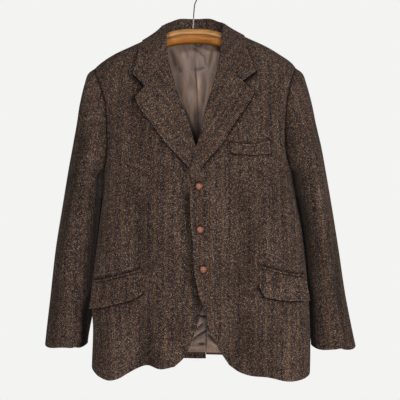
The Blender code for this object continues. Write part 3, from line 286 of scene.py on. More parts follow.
# One sleeve by its share of length: the outer line, the inner line, and the section's half
# depth and middle. The first row is the armhole itself.
SLEEVE_COLUMNS = ("share", "outer_x", "outer_z", "inner_x", "inner_z", "half_depth", "middle")
SLEEVE = {
    RIGHT: (
        (0.00, 0.2290, -0.2065, 0.2070, -0.4400, 0.050, 0.004),
        (0.04, 0.2425, -0.2170, 0.2095, -0.4430, 0.054, 0.004),
        (0.10, 0.2520, -0.2430, 0.2120, -0.4450, 0.060, 0.005),
        (0.18, 0.2625, -0.2865, 0.2140, -0.4480, 0.068, 0.007),
        (0.28, 0.2700, -0.3330, 0.2160, -0.4540, 0.074, 0.010),
        (0.38, 0.2800, -0.3850, 0.2175, -0.4680, 0.077, 0.013),
        (0.48, 0.2910, -0.4400, 0.2190, -0.5000, 0.077, 0.016),
        (0.60, 0.3050, -0.5200, 0.2240, -0.5620, 0.073, 0.018),
        (0.73, 0.3220, -0.6200, 0.2340, -0.6450, 0.066, 0.020),
        (0.87, 0.3360, -0.7350, 0.2445, -0.7480, 0.054, 0.021),
        (0.96, 0.3445, -0.8080, 0.2475, -0.8130, 0.046, 0.019),
        (1.00, 0.3480, -0.8420, 0.2500, -0.8425, 0.043, 0.018),
    ),
    LEFT: (
        (0.00, 0.2290, -0.2065, 0.2205, -0.4400, 0.050, 0.004),
        (0.04, 0.2425, -0.2170, 0.2230, -0.4430, 0.054, 0.004),
        (0.10, 0.2530, -0.2430, 0.2255, -0.4450, 0.060, 0.005),
        (0.18, 0.2655, -0.2865, 0.2280, -0.4480, 0.068, 0.007),
        (0.28, 0.2760, -0.3330, 0.2305, -0.4540, 0.074, 0.010),
        (0.38, 0.2890, -0.3850, 0.2330, -0.4680, 0.077, 0.013),
        (0.48, 0.3000, -0.4400, 0.2375, -0.5000, 0.077, 0.016),
        (0.60, 0.3145, -0.5200, 0.2475, -0.5620, 0.073, 0.018),
        (0.73, 0.3315, -0.6200, 0.2570, -0.6450, 0.066, 0.020),
        (0.87, 0.3500, -0.7350, 0.2665, -0.7480, 0.054, 0.021),
        (0.96, 0.3655, -0.8130, 0.2685, -0.8180, 0.046, 0.019),
        (1.00, 0.3725, -0.8460, 0.2700, -0.8465, 0.043, 0.018),
    ),
}
SLEEVE_CROWD = 1.15             # power that sets a sleeve's first rings closer together
HOLE_FADE = 0.42                # share of a sleeve over which the armhole's own shape fades
BULGE_START = 0.15              # and over which its folds grow to their full depth
SLEEVE_CLEAR = 0.0006           # the sleeve stands this far out of the armhole
SLEEVE_WRAP = 0.0130            # how far a sleeve's inner back quarter lies in behind the body
SLEEVE_WRAP_ENDS = ((0.16, 0.18), (0.88, 0.12))     # shares of the arm where that starts and ends
SLEEVE_SHADE = {LEFT: 0.0130, RIGHT: 0.0052}    # width of the shade painted on a sleeve next to the body
SLEEVE_WEDGE = {LEFT: 0.004, RIGHT: 0.011}      # how far it widens down to the cuff
SLEEVE_PAINTED_LIGHT = {LEFT: (0.34, 0.02), RIGHT: (-0.04, -0.04)}   # light painted on a whole sleeve (paler above 0, darker below), above and below
SLEEVE_TUCK = 0.0010            # how far a sleeve's edge is tucked in at the armhole
CUFF_NICK = 0.0020              # height of the small step in each cuff's hem, and its turn
CUFF_NICK_TURN = {LEFT: 0.225, RIGHT: 0.345}
CUFF_NICK_WIDTH = 0.022
CUFF_NICK_RISE = (0.90, 0.10)   # share of the arm where that starts, and how soon it is whole
CUFF_LEVEL_RISE = (0.85, 0.15)
CUFF_LEVEL = 0.0034             # how much lower a cuff's hem hangs at its four corners
ARM_HALF_WIDTH = 0.036          # narrowest oval that the cloth's grain runs round

# Broad folds of a sleeve: place down the arm and round it (turns), how long and wide, depth.
SLEEVE_FOLDS = (
    (0.30, 0.20, 0.10, 0.06, -0.004),
    (0.52, 0.17, 0.16, 0.07, -0.004),
    (0.62, 0.28, 0.06, 0.10, 0.003),
    (0.86, 0.15, 0.16, 0.06, -0.004),
    (0.50, 0.78, 0.12, 0.08, -0.004),
    (0.66, 0.66, 0.08, 0.10, 0.003),
)

# The hanger's bow: place across, height of its upper edge, its height and half thickness.
BOW = (
    (-0.2080, -0.2080, 0.022, 0.0070),
    (-0.2000, -0.1990, 0.032, 0.0090),
    (-0.1650, -0.1790, 0.033, 0.0095),
    (-0.1200, -0.1545, 0.033, 0.0100),
    (-0.0720, -0.1270, 0.034, 0.0105),
    (-0.0380, -0.1170, 0.034, 0.0110),
    (-0.0040, -0.1150, 0.034, 0.0115),
    (0.0320, -0.1165, 0.034, 0.0110),
    (0.0660, -0.1260, 0.034, 0.0105),
    (0.1200, -0.1540, 0.033, 0.0100),
    (0.1650, -0.1770, 0.033, 0.0095),
    (0.2010, -0.1980, 0.032, 0.0090),
    (0.2090, -0.2070, 0.022, 0.0070),
)
STEM = ((-0.0046, -0.1144), (-0.0034, -0.0940), (-0.0020, -0.0720), (0.0000, -0.0570),
        (0.0065, -0.0450))

# Smaller creases: a line from its top to its bottom, its half width and depth. It fades at
# both ends.
CREASES = {
    "front": (
        (0.0675, -0.3760, 0.0850, -0.4200, 0.0055, -0.0012),
        (0.1330, -0.2500, 0.1180, -0.3700, 0.0220, 0.0016),
        (0.1720, -0.2600, 0.1560, -0.4200, 0.0160, -0.0018),
        (-0.1290, -0.2600, -0.1180, -0.4300, 0.0240, -0.0020),
        (-0.1650, -0.2900, -0.1500, -0.4600, 0.0170, 0.0016),
        (-0.0780, -0.4000, -0.0560, -0.5100, 0.0150, -0.0016),
        (-0.0420, -0.4700, -0.0500, -0.6100, 0.0180, 0.0012),
        (-0.1150, -0.5000, -0.1220, -0.6500, 0.0200, -0.0018),
        (-0.1520, -0.5200, -0.1580, -0.6600, 0.0150, 0.0013),
        (0.0520, -0.4300, 0.0440, -0.5600, 0.0140, 0.0012),
        (0.0860, -0.4450, 0.1050, -0.5600, 0.0160, -0.0015),
        (0.1010, -0.5900, 0.1110, -0.7200, 0.0170, -0.0020),
        (0.1450, -0.5100, 0.1620, -0.6400, 0.0190, 0.0015),
        (0.1800, -0.4700, 0.1960, -0.6200, 0.0130, -0.0014),
        (0.0640, -0.7000, 0.0830, -0.8600, 0.0190, 0.0018),
        (0.1080, -0.7500, 0.1200, -0.8900, 0.0170, -0.0020),
        (0.1720, -0.7700, 0.1820, -0.9000, 0.0150, -0.0018),
        (-0.0260, -0.6900, -0.0400, -0.8300, 0.0160, -0.0013),
        (-0.1300, -0.7600, -0.1360, -0.8900, 0.0120, 0.0020),
        (-0.2000, -0.7700, -0.2060, -0.8900, 0.0130, -0.0020),
    ),
    "back": (
        (-0.0600, -0.1900, -0.1250, -0.2600, 0.0130, -0.0022),
        (0.0650, -0.1950, 0.1350, -0.2750, 0.0120, -0.0022),
        (-0.1650, -0.2700, -0.1500, -0.4200, 0.0140, 0.0022),
        (0.1700, -0.2700, 0.1520, -0.4300, 0.0150, 0.0022),
        (-0.1400, -0.2900, -0.1250, -0.4300, 0.0120, -0.0018),
        (0.1420, -0.3000, 0.1300, -0.4200, 0.0130, -0.0018),
        (0.0400, -0.4300, 0.0700, -0.6500, 0.0170, 0.0018),
        (-0.0300, -0.4500, -0.0560, -0.6300, 0.0160, -0.0016),
        (-0.1750, -0.5200, -0.1820, -0.7600, 0.0180, -0.0020),
        (0.1780, -0.5500, 0.1900, -0.7800, 0.0180, 0.0020),
        (0.0950, -0.6900, 0.1050, -0.8800, 0.0160, 0.0022),
        (-0.0850, -0.7000, -0.0800, -0.8800, 0.0160, -0.0020),
    ),
}

# Creases of the lining: a line from its top to its bottom, fading at both ends, its half width
# and how far it stands forward.
LINING_CREASES = (
    (-0.0600, -0.1460, -0.0420, -0.1900, 0.0040, -0.0022),
    (-0.0420, -0.1900, -0.0330, -0.2030, 0.0036, -0.0018),
    (-0.0500, -0.1440, -0.0300, -0.1900, 0.0050, 0.0016),
    (-0.0300, -0.1480, -0.0170, -0.3000, 0.0110, 0.0022),
    (-0.0430, -0.2100, -0.0260, -0.3200, 0.0060, -0.0016),
    (-0.0240, -0.1440, -0.0140, -0.1700, 0.0026, -0.0012),
    (-0.0060, -0.1440, 0.0220, -0.1660, 0.0034, -0.0018),
    (0.0220, -0.1660, 0.0300, -0.1900, 0.0034, -0.0014),
    (0.0100, -0.1440, 0.0360, -0.1580, 0.0040, 0.0016),
    (0.0420, -0.1440, 0.0340, -0.1900, 0.0040, -0.0018),
    (0.0500, -0.1500, 0.0380, -0.2100, 0.0050, 0.0018),
    (0.0000, -0.1990, 0.0250, -0.1900, 0.0022, -0.0016),
    (0.0020, -0.2050, 0.0230, -0.1980, 0.0026, 0.0014),
    (-0.0010, -0.1660, 0.0010, -0.3400, 0.0022, -0.0024),
    (0.0090, -0.2000, 0.0080, -0.3300, 0.0050, 0.0012),
    (0.0240, -0.2100, 0.0170, -0.2900, 0.0050, -0.0014),
    (0.0330, -0.2100, 0.0240, -0.2900, 0.0045, 0.0014),
    (-0.0050, -0.7780, 0.0350, -0.7760, 0.0050, 0.0040),
    (-0.0050, -0.7861, 0.0350, -0.7861, 0.0028, -0.0050),
    (-0.0140, -0.8220, 0.0190, -0.7950, 0.0050, 0.0050),
    (-0.0060, -0.8270, 0.0220, -0.8020, 0.0028, -0.0055),
    (-0.0140, -0.8380, 0.0240, -0.8150, 0.0045, 0.0050),
    (-0.0100, -0.8450, 0.0260, -0.8200, 0.0028, -0.0055),
    (0.0020, -0.8470, 0.0240, -0.8400, 0.0040, 0.0040),
    (0.0050, -0.8527, 0.0250, -0.8527, 0.0026, -0.0045),
    (-0.0200, -0.8600, 0.0200, -0.8600, 0.0040, 0.0040),
    (0.0290, -0.7990, 0.0460, -0.8190, 0.0042, 0.0050),
    (0.0290, -0.8090, 0.0420, -0.8270, 0.0028, -0.0055),
    (0.0290, -0.8220, 0.0560, -0.8420, 0.0044, 0.0050),
    (0.0290, -0.8310, 0.0530, -0.8520, 0.0028, -0.0055),
    (0.0290, -0.8450, 0.0560, -0.8600, 0.0040, 0.0040),
    (-0.0900, -0.7900, -0.0200, -0.8050, 0.0060, 0.0040),
    (0.0500, -0.7900, 0.1200, -0.8000, 0.0060, 0.0040),
    (-0.1100, -0.8300, -0.0300, -0.8420, 0.0060, 0.0045),
    (0.0600, -0.8350, 0.1300, -0.8300, 0.0060, 0.0045),
    (-0.0700, -0.4300, -0.0500, -0.6400, 0.0110, 0.0040),
    (0.0600, -0.4100, 0.0650, -0.6600, 0.0120, 0.0040),
    (0.1050, -0.4500, 0.0950, -0.7000, 0.0100, -0.0025),
    (-0.1150, -0.4700, -0.1050, -0.7100, 0.0110, -0.0025),
)
# Shade and light painted on the lining: dark lines in its creases, the shadow that a lapel casts in
# the V, and paler lines where the share is above 0; each as the creases, with a share of darkness.
LINING_PAINTED_SHADE = (
    (0.0040, -0.7861, 0.0320, -0.7861, 0.0018, -1.8),
    (-0.0030, -0.8260, 0.0180, -0.8010, 0.0020, -1.6),
    (-0.0097, -0.8454, 0.0093, -0.8301, 0.0022, -1.9),
    (0.0053, -0.8325, 0.0290, -0.8190, 0.0022, -1.9),
    (0.0080, -0.8527, 0.0220, -0.8520, 0.0016, -1.6),
    (0.0290, -0.8060, 0.0400, -0.8250, 0.0024, -1.8),
    (0.0300, -0.8270, 0.0460, -0.8440, 0.0022, -1.6),
    (0.0400, -0.8400, 0.0520, -0.8560, 0.0018, -1.0),
    (0.0264, -0.7950, 0.0264, -0.8720, 0.0016, -0.9),
    (0.0180, -0.7950, 0.0010, -0.8150, 0.0040, 0.35),
    (0.0160, -0.8130, -0.0040, -0.8330, 0.0040, 0.35),
    (0.0380, -0.8150, 0.0520, -0.8320, 0.0040, 0.25),
    (-0.0150, -0.1980, 0.0240, -0.1910, 0.0014, -0.5),
    (-0.0580, -0.1520, -0.0440, -0.1980, 0.0018, -0.4),
    (0.0060, -0.1500, 0.0260, -0.1700, 0.0018, -0.4),
    (0.0400, -0.1500, 0.0310, -0.2000, 0.0018, -0.4),
    (0.0250, -0.2250, 0.0160, -0.3000, 0.0016, -0.4),
    (-0.0250, -0.2400, -0.0120, -0.3200, 0.0018, -0.4),
    (-0.0275, -0.2850, 0.0068, -0.3850, 0.0046, -1.90),
    (-0.0130, -0.2350, -0.0020, -0.3000, 0.0090, 0.30),
    (0.0170, -0.2150, 0.0130, -0.2950, 0.0080, 0.20),
    (0.0060, -0.3100, 0.0150, -0.4050, 0.0070, 0.95),
    (0.0120, -0.3050, 0.0130, -0.3700, 0.0060, 0.90),
)
LINING_SLACK = (0.45, -0.70, 0.06)      # how much less slack it is below a height, and how soon
LINING_HEM_TONE = (0.08, -0.770, 0.040)         # how much darker it is there
# The lining's centre seam: heights, and how far across it lies there; how dark the shade painted
# along it is, how wide it is, and the heights below which it starts and above which it shows.
LINING_SEAM_SHADE = (0.9, 0.0016)
LINING_SEAM_ENDS = ((-0.150, 0.060), -0.5)
LINING_SEAM = ((-0.3510, -0.2770, -0.2050, -0.1670), (0.0088, 0.0060, 0.0020, -0.0020))
LINING_BANDS = (-0.745, -0.390)  # between these heights the lining's rows lie further apart
LINING_COLUMNS = 84
LINING_CROWD = 1.6              # power that sets its columns closer together at the centre
LINING_UP = {LEFT: 0.0060, RIGHT: 0.0160}       # how far the lining ends above the hem
LOOP_WIDTH = 0.0035             # hanging loop at the neck: its width, half span, drop and place
LOOP_REACH = 0.0145
LOOP_DROP = 0.0290
LOOP_MIDDLE = 0.0080
LOOP_TOP = -0.1145
LOOP_GAP = 0.0050               # how far it stands in front of the tweed
LOOP_PAINTED_SHADE = -0.7                # how dark the shade painted over the whole loop is
CENTRE_HEM = {LEFT: -0.8790, RIGHT: -0.8885}    # the hem at each edge of the centre vent

# Creases of a sleeve: its side, then as above, and the slant.
SLEEVE_CREASES = (
    (RIGHT, 0.44, 0.20, 0.075, 0.022, -0.0030, 0.25),
    (RIGHT, 0.60, 0.16, 0.120, 0.030, -0.0032, 0.05),
    (RIGHT, 0.76, 0.19, 0.090, 0.026, 0.0022, -0.10),
    (RIGHT, 0.55, 0.30, 0.050, 0.030, 0.0024, 0.30),
    (RIGHT, 0.48, 0.36, 0.045, 0.026, -0.0026, 0.50),
    (RIGHT, 0.88, 0.12, 0.070, 0.022, -0.0022, 0.00),
    (RIGHT, 0.22, 0.14, 0.090, 0.026, -0.0018, 0.10),
    (RIGHT, 0.55, 0.70, 0.070, 0.030, -0.0028, -0.30),
    (RIGHT, 0.68, 0.80, 0.080, 0.026, 0.0022, 0.10),
    (LEFT, 0.40, 0.22, 0.065, 0.022, -0.0028, 0.35),
    (LEFT, 0.52, 0.29, 0.060, 0.028, 0.0024, 0.30),
    (LEFT, 0.66, 0.21, 0.100, 0.028, -0.0026, 0.08),
    (LEFT, 0.84, 0.17, 0.110, 0.030, -0.0034, 0.00),
    (LEFT, 0.77, 0.25, 0.070, 0.024, 0.0020, -0.12),
    (LEFT, 0.24, 0.12, 0.090, 0.028, 0.0016, 0.05),
    (LEFT, 0.57, 0.72, 0.080, 0.030, -0.0028, -0.25),
    (LEFT, 0.70, 0.79, 0.070, 0.026, 0.0022, 0.10),
)

FLOOR_RADII = (0.0005, 0.4, 0.8, 1.2, 1.45)     # rings of the round floor
FLOOR_FALL = 0.001              # how much lower its rim lies
CAMERA_X = 0.0115
CAMERA_Z = -0.5083
CAMERA_DISTANCE = 1.35
FIELD_WIDTH = 0.92              # what the camera sees across at the hanger
AIR_LIGHT = 0.20                # how much of their brightness the surroundings give as light
LIGHTS = (
    ("key_softbox", (-0.75, -2.30, 0.05), (0.0, 0.0, -0.45), 0.50, 25.0),
    ("fill_softbox", (0.28, -2.45, -0.80), (0.0, 0.0, -0.55), 0.45, 26.0),
    ("side_softbox", (2.10, -1.30, -0.05), (0.0, 0.0, -0.40), 0.80, 28.0),
    ("back_softbox", (0.60, 2.30, 0.80), (0.0, 0.0, -0.50), 1.20, 30.0),
)
# Where across its bolt of cloth each tweed piece was cut, so that neighbours differ.
BOLT_START = {
    "front_left": 0.0, "front_right": 0.7, "back_left": 1.4, "back_right": 2.1,
    "top_sleeve_left": 2.9, "under_sleeve_left": 2.9, "top_sleeve_right": 2.1,
    "under_sleeve_right": 2.1, "collar": 4.0, "lapel_left": 5.3, "lapel_right": 4.7,
    "flap_left": 6.0, "flap_right": 6.0, "jetting_left": 6.3, "jetting_right": 6.3,
    "chest_welt": 6.6}


# ---- curves and tables ------------------------------------------------------------------
def smooth(at, knots, values):
    """A curve through values at knots, its slope at each knot taken from the two beside it."""
    knots = np.asarray(knots, float)
    values = np.asarray(values, float)
    slopes = np.gradient(values, knots, axis=0)
    at = np.clip(np.asarray(at, float), knots[0], knots[-1])
    cell = np.clip(np.searchsorted(knots, at, side="right") - 1, 0, len(knots) - 2)
    width = knots[cell + 1] - knots[cell]
    t = (at - knots[cell]) / width
    if values.ndim == 2:
        width = width[..., None]
        t = t[..., None]
    rise = 3 * t ** 2 - 2 * t ** 3
    leave = (t ** 3 - 2 * t ** 2 + t) * width
    arrive = (t ** 3 - t ** 2) * width
    level = (1 - rise) * values[cell] + rise * values[cell + 1]
    return level + leave * slopes[cell] + arrive * slopes[cell + 1]


def even(cells):
    """Shares from 0 to 1 at the ends of so many equal cells."""
    return np.linspace(0.0, 1.0, cells + 1)


def once_round(count):
    """Equal turns once round, without the last, which is the first again."""
    return np.linspace(0.0, 2.0 * np.pi, count, endpoint=False)


def by_column(rows, names):
    """A table's columns by their names."""
    return dict(zip(names, np.array(rows, float).T))


def walk(points, shares):
    """Places at the given shares of the length of a smooth path through the points."""
    points = np.asarray(points, float)
    steps = np.linalg.norm(np.diff(points, axis=0), axis=1)
    length = np.concatenate([[0.0], np.cumsum(steps)])
    return smooth(np.asarray(shares) * length[-1], length, points)


def ease(value):
    """Soft step from 0 to 1."""
    value = np.clip(value, 0.0, 1.0)
    return value * value * (3.0 - 2.0 * value)


def below(z, height, length):
    """Soft step down the jacket: 0 above a height, and 1 from a length below it."""
    return ease((height - z) / length)


def unit(vectors):
    """Vectors brought to a length of one."""
    return vectors / np.maximum(np.linalg.norm(vectors, axis=-1, keepdims=True), TINY)


# ---- the body surface -------------------------------------------------------------------
SECTIONS = by_column(BODY[::-1], BODY_COLUMNS)
ARMS = {side: by_column(SLEEVE[side][::-1], SLEEVE_COLUMNS) for side in (LEFT, RIGHT)}


def section(name, height):
    """A column of the body table at any height."""
    return smooth(height, SECTIONS["height"], SECTIONS[name])


def reach_at(x, z):
    """How far the section at a height reaches, on the side of the body where x lies."""
    return np.where(x > 0, section("left", z), section("right", z))


def angle_at(x, z, face):
    """Angle round the body of a place on its front or back: 0 is the wearer's left side,
    a quarter turn the middle front, a half turn the right side."""
    share = np.clip(np.abs(x) / reach_at(x, z), 0.0, 1.0) ** (section("square", z) / 2.0)
    angle = np.arccos(share * np.sign(x))
    return angle if face == "front" else 2.0 * np.pi - angle


def fold_height(face, x, z):
    """Sum of the folds and creases: each a bell across its line. A fold grows down along its
    line, and a crease swells between its two ends."""
    total = np.zeros_like(x)
    for top_x, top_z, low_x, low_z, width, depth in FOLDS[face]:
        down = (top_z - z) / (top_z - low_z)
        line = top_x + (low_x - top_x) * down
        total += depth * ease(down) * np.exp(-((x - line) / width) ** 2)
    return total + CREASE_DEPTH * creases(CREASES[face], x, z) + unevenness(x, z)


def creases(rows, x, z):
    """Sum of creases, each a bell across its line that swells between the line's two ends."""
    sizes, _ = chosen()
    total = np.zeros_like(x)
    for x0, z0, x1, z1, width, depth in rows:
        run = np.array([x1 - x0, z1 - z0])
        length = np.hypot(*run)
        along = ((x - x0) * run[0] + (z - z0) * run[1]) / length ** 2
        across = ((x - x0) * run[1] - (z - z0) * run[0]) / length
        swell = (ease((along + CREASE_FADE) / CREASE_SWELL)
                 * ease((1.0 + CREASE_FADE - along) / CREASE_SWELL))
        total += depth * swell * np.exp(-(across / width) ** 2)
    return sizes.crease * total


def unevenness(x, z):
    """The cloth's faint waviness: three long sine waves at different slants."""
    waves = sum(np.sin(x * across + z * up + start) for across, up, start in WAVES)
    return WAVINESS * waves / len(WAVES)


def lining_folds(x, z):
    """How far the lining stands forward: its creases, and a slack cloth's crossing waves, one
    40 mm and one 80 mm long."""
    waves = np.sin(x * 150.0 + z * 40.0) * np.sin(z * 70.0 - x * 30.0 + 1.0)
    return creases(LINING_CREASES, x, z) + LINING_WAVINESS * waves


def overlap(x, z):
    """How far the wearer's left front lies over the right one near the closure."""
    start, width = OVERLAP_EDGE
    over_edge = 1.0 - ease((x - start) / width)
    rise, end = OVERLAP_LAPEL
    lapel_height = below(z, *rise) * (1.0 - below(z, *end))
    return over_edge * (LAPEL_OVER * lapel_height + CLOSURE_OVER * below(z, *OVERLAP_CLOSURE))


def skin(angle, z, layer):
    """Outer surface of the body: at each height a squared oval, whose cosine and sine are taken
    to the power 2 over its squareness, times the reach and the depth with its folds. The layer
    'over' is the wearer's left front, which lies on the other."""
    angle = np.asarray(angle, float)
    z = np.broadcast_to(np.asarray(z, float), angle.shape)
    power = 2.0 / section("square", z)
    c = np.cos(angle)
    s = np.sin(angle)
    x = reach_at(c, z) * np.sign(c) * np.abs(c) ** power
    front = section("front", z) + fold_height("front", x, z)
    back = section("back", z) + fold_height("back", x, z)
    if layer == "over":
        front = front + overlap(x, z)
    depth = np.where(s > 0, front, back)
    y = -depth * np.sign(s) * np.abs(s) ** power
    return np.stack([x, y, z], axis=-1)


def outward(angle, z, layer):
    """Unit normals of the body surface."""
    turn = 0.004
    rise = 0.0008
    across = skin(angle + turn, z, layer) - skin(angle - turn, z, layer)
    up = skin(angle, z + rise, layer) - skin(angle, z - rise, layer)
    return unit(np.cross(up, across))


def on_skin(place, lift, layer="under"):
    """Points at (angle, height) places, raised off the surface."""
    angle = place[..., 0]
    z = place[..., 1]
    lift = np.broadcast_to(np.asarray(lift, float), angle.shape)
    return skin(angle, z, layer) + outward(angle, z, layer) * lift[..., None]


def place_of(points, side):
    """(angle, height) of points near the surface, from the ray that they lie on."""
    points = np.asarray(points, float)
    x, y, z = points[..., 0], points[..., 1], points[..., 2]
    depth = np.where(y < 0, section("front", z), section("back", z))
    power = section("square", z) / 2.0
    c = np.sign(x) * (np.abs(x) / reach_at(x, z)) ** power
    s = -np.sign(y) * (np.abs(y) / depth) ** power
    angle = np.arctan2(s, c)
    if side == RIGHT:
        angle = np.where(angle < 0, angle + 2.0 * np.pi, angle)
    return np.stack([angle, z], axis=-1)


def nearest_place(points, side, layer="under"):
    """(angle, height) of the surface's nearest points: eight steps along the surface towards
    each point, until what is left over stands square to it."""
    points = np.asarray(points, float)
    place = place_of(points, side)
    turn = 0.01
    rise = 0.001
    for _ in range(8):
        here = skin(place[..., 0], place[..., 1], layer)
        across = (skin(place[..., 0] + turn, place[..., 1], layer) - here) / turn
        up = (skin(place[..., 0], place[..., 1] + rise, layer) - here) / rise
        rest = points - here
        aa = np.einsum("...i,...i->...", across, across)
        uu = np.einsum("...i,...i->...", up, up)
        au = np.einsum("...i,...i->...", across, up)
        ar = np.einsum("...i,...i->...", across, rest)
        ur = np.einsum("...i,...i->...", up, rest)
        area = aa * uu - au * au
        step = np.stack([(uu * ar - au * ur) / area, (aa * ur - au * ar) / area], axis=-1)
        place = place + np.clip(step, (-0.15, -0.01), (0.15, 0.01)) * 0.8
    return place


def places(points, face):
    """(angle, height) of flat (x, z) points."""
    points = np.asarray(points, float)
    return np.stack([angle_at(points[..., 0], points[..., 1], face), points[..., 1]], axis=-1)


def grid_normals(grid, closed_columns=False):
    """Unit normals of a grid from its neighbours."""
    down = np.gradient(grid, axis=0)
    if closed_columns:
        across = np.roll(grid, -1, axis=1) - np.roll(grid, 1, axis=1)
    else:
        across = np.gradient(grid, axis=1)
    return unit(np.cross(down, across))


def patch(low, top, inner, outer):
    """A surface net between four borders, in (angle, height) places: low and top run along
    the columns, inner and outer along the rows."""
    v = np.linspace(0.0, 1.0, len(inner))[:, None, None]
    u = np.linspace(0.0, 1.0, len(low))[None, :, None]
    rows = (1 - v) * low[None] + v * top[None]
    columns = (1 - u) * inner[:, None] + u * outer[:, None]
    corners = (1 - v) * ((1 - u) * low[0] + u * low[-1]) + v * ((1 - u) * top[0] + u * top[-1])
    return rows + columns - corners


# ---- panels -----------------------------------------------------------------------------
def side_seam(side):
    """The side seam from the hem to the armpit."""
    shares = even(SIDE_ROWS)
    heights = SIDE_HEM[side] + (ARMPIT - SIDE_HEM[side]) * shares
    return np.stack([np.full_like(heights, SEAM_ANGLE[side]), heights], axis=-1)


def wrapped(place, side):
    """Brings angles behind the wearer's left side below zero, next to the front's."""
    place = place.copy()
    if side == LEFT:
        angle = place[..., 0]
        place[..., 0] = np.where(angle > math.pi, angle - 2.0 * math.pi, angle)
    return place


def walk_round(path, radius, shares):
    """(angle, height) places along a path, at shares of its length at the given radius."""
    reach = np.array([radius, 1.0])
    return walk(path * reach, shares) / reach


def armhole(side, face):
    """Half of the armhole, from the armpit up to the shoulder point."""
    rows = FRONT_ARMHOLE[side] if face == "front" else BACK_ARMHOLE[side]
    between = wrapped(places(rows, face), side)[::-1]
    foot = np.array([[SEAM_ANGLE[side], ARMPIT]])
    crown = np.array([[RIDGE_ANGLE[side], SHOULDER_POINT]])
    path = np.concatenate([foot, between, crown])
    return walk_round(path, BODY_RADIUS, even(ARMHOLE_ROWS))


def outer_border(side, face):
    """Side seam, armhole and shoulder seam, from the hem to the neck point."""
    heights = np.linspace(SHOULDER_POINT, NECK_POINT, SHOULDER_ROWS + 1)
    shoulder = np.stack([np.full_like(heights, RIDGE_ANGLE[side]), heights], axis=-1)
    return np.concatenate([side_seam(side), armhole(side, face)[1:], shoulder[1:]])


def row_shares(side, face):
    """How far up each row of a panel starts, so that its rows lie nearly level."""
    heights = outer_border(side, face)[:, 1]
    return (heights - heights[0]) / (heights[-1] - heights[0])


def front_net(side):
    """(angle, height) places of a whole front. Its inner border goes up the cutaway and the
    closure and just outside the roll line to the gorge, and its top is the neck seam."""
    edge = list(FRONT_EDGE[side])[::-1]
    roll = [(x + side * TURN, z) for x, z in ROLL[side]][::-1]
    inner = walk_round(places(edge + roll, "front"), FRONT_RADIUS, row_shares(side, "front"))
    hem = places(FRONT_HEM[side], "front")
    hem = np.concatenate([hem, [[SEAM_ANGLE[side], SIDE_HEM[side]]]])
    low = walk_round(hem, BODY_RADIUS, even(PANEL_COLUMNS))
    top = neck_line(side, "seam", np.linspace(0.0, NECK_SHARE, PANEL_COLUMNS + 1))
    top = nearest_place(top, side)
    inner[-1] = top[0]
    outer = outer_border(side, "front")
    top[-1] = outer[-1]
    return patch(low, top, inner, outer)


def back_net(side):
    """(angle, height) places of half of the back, from the centre seam to the side."""
    outer = outer_border(side, "back")
    line = ((CENTRE_BACK[-1][0], CENTRE_HEM[side]),) + CENTRE_BACK[-2::-1]
    centre = wrapped(places(walk(line, row_shares(side, "back")), "back"), side)
    top = neck_line(side, "seam", np.linspace(1.0, NECK_SHARE, PANEL_COLUMNS + 1))
    top = nearest_place(top, side)
    top[0] = centre[-1]
    top[-1] = outer[-1]
    share = even(PANEL_COLUMNS)[:, None]
    low = centre[0] + (outer[0] - centre[0]) * share
    return patch(low, top, centre, outer)


def resampled(net, row_places, column_places):
    """A net read off between its rows and columns, at places counted in its cells."""
    low = np.minimum(row_places.astype(int), net.shape[0] - 2)
    share = (row_places - low)[:, None, None]
    net = net[low] * (1.0 - share) + net[low + 1] * share
    low = np.minimum(column_places.astype(int), net.shape[1] - 2)
    share = (column_places - low)[None, :, None]
    return net[:, low] * (1.0 - share) + net[:, low + 1] * share


def neck_line(side, kind, at):
    """Points on the collar's fold line, neck seam or outer edge, from the gorge (0) round to
    the centre back (1)."""
    points = []
    for row in COLLAR[side]:
        x = side * row[COLLAR_COLUMNS.index(kind + "_x")]
        z = row[COLLAR_COLUMNS.index(kind + "_z")]
        if row[0] == "side":
            points.append(skin(RIDGE_ANGLE[side], z, "under"))
        else:
            points.append(skin(*places((x, z), row[0]), "under"))
    return smooth(at, NECK_SPACING, np.array(points))


def over_notch(side, end, corner_share, shares):
    """Flat places from the roll line's top straight to the notch's inner corner, at a share of
    the way, and from there straight to the given end."""
    path = np.array([ROLL[side][0], NOTCH[side], end])
    return np.stack([np.interp(shares, (0.0, corner_share, 1.0), line) for line in path.T], axis=-1)


def bent_to_gorge(net, first, shares):
    """A net whose first row is moved to the given one, and the rows after it less and less."""
    fade_or_painted_shade = np.clip(1.0 - shares / GORGE_FADE, 0.0, 1.0) ** 1.5
    return net + (first - net[0])[None] * fade_or_painted_shade[:, None, None]


def collar_half(side, cells, shares):
    """Fold, seam and fall places of half a collar, from the gorge to the centre back."""
    at = even(cells)
    fold, seam, edge = [neck_line(side, kind, at) for kind in ("fold", "seam", "edge")]
    fall = fold[:, None] + (edge - fold)[:, None] * shares[None, :, None]
    tip = (side * COLLAR[side][0][5], COLLAR[side][0][6])
    gorge = on_skin(places(over_notch(side, tip, NOTCH_SHARE, shares), "front"), 0.0)
    fall = bent_to_gorge(fall, gorge, at)
    return nearest_place(fold, side), nearest_place(seam, side), nearest_place(fall, side)


def armhole_ring(side):
    """The whole armhole as points: from the crown down the front, round the armpit and up
    the back."""
    front = skin(*armhole(side, "front")[::-1].T, "under")
    back = skin(*armhole(side, "back").T, "under")
    return np.concatenate([front, back[1:-1]])


def sleeve_fold(side, share, turn):
    """Sum of a sleeve's folds and creases: bells along and round it, each crease slanting."""
    sizes, _ = chosen()
    folds = [(*row, 0.0) for row in SLEEVE_FOLDS]
    folds += [row[1:] for row in SLEEVE_CREASES if row[0] == side]
    total = np.zeros(np.broadcast(share, turn).shape)
    for middle, place, length, width, depth, slant in folds:
        along = (share - middle) / length
        round_it = (turn - place - slant * (share - middle)) / width
        total = total + depth * np.exp(-along ** 2 - round_it ** 2)
    return sizes.crease * total


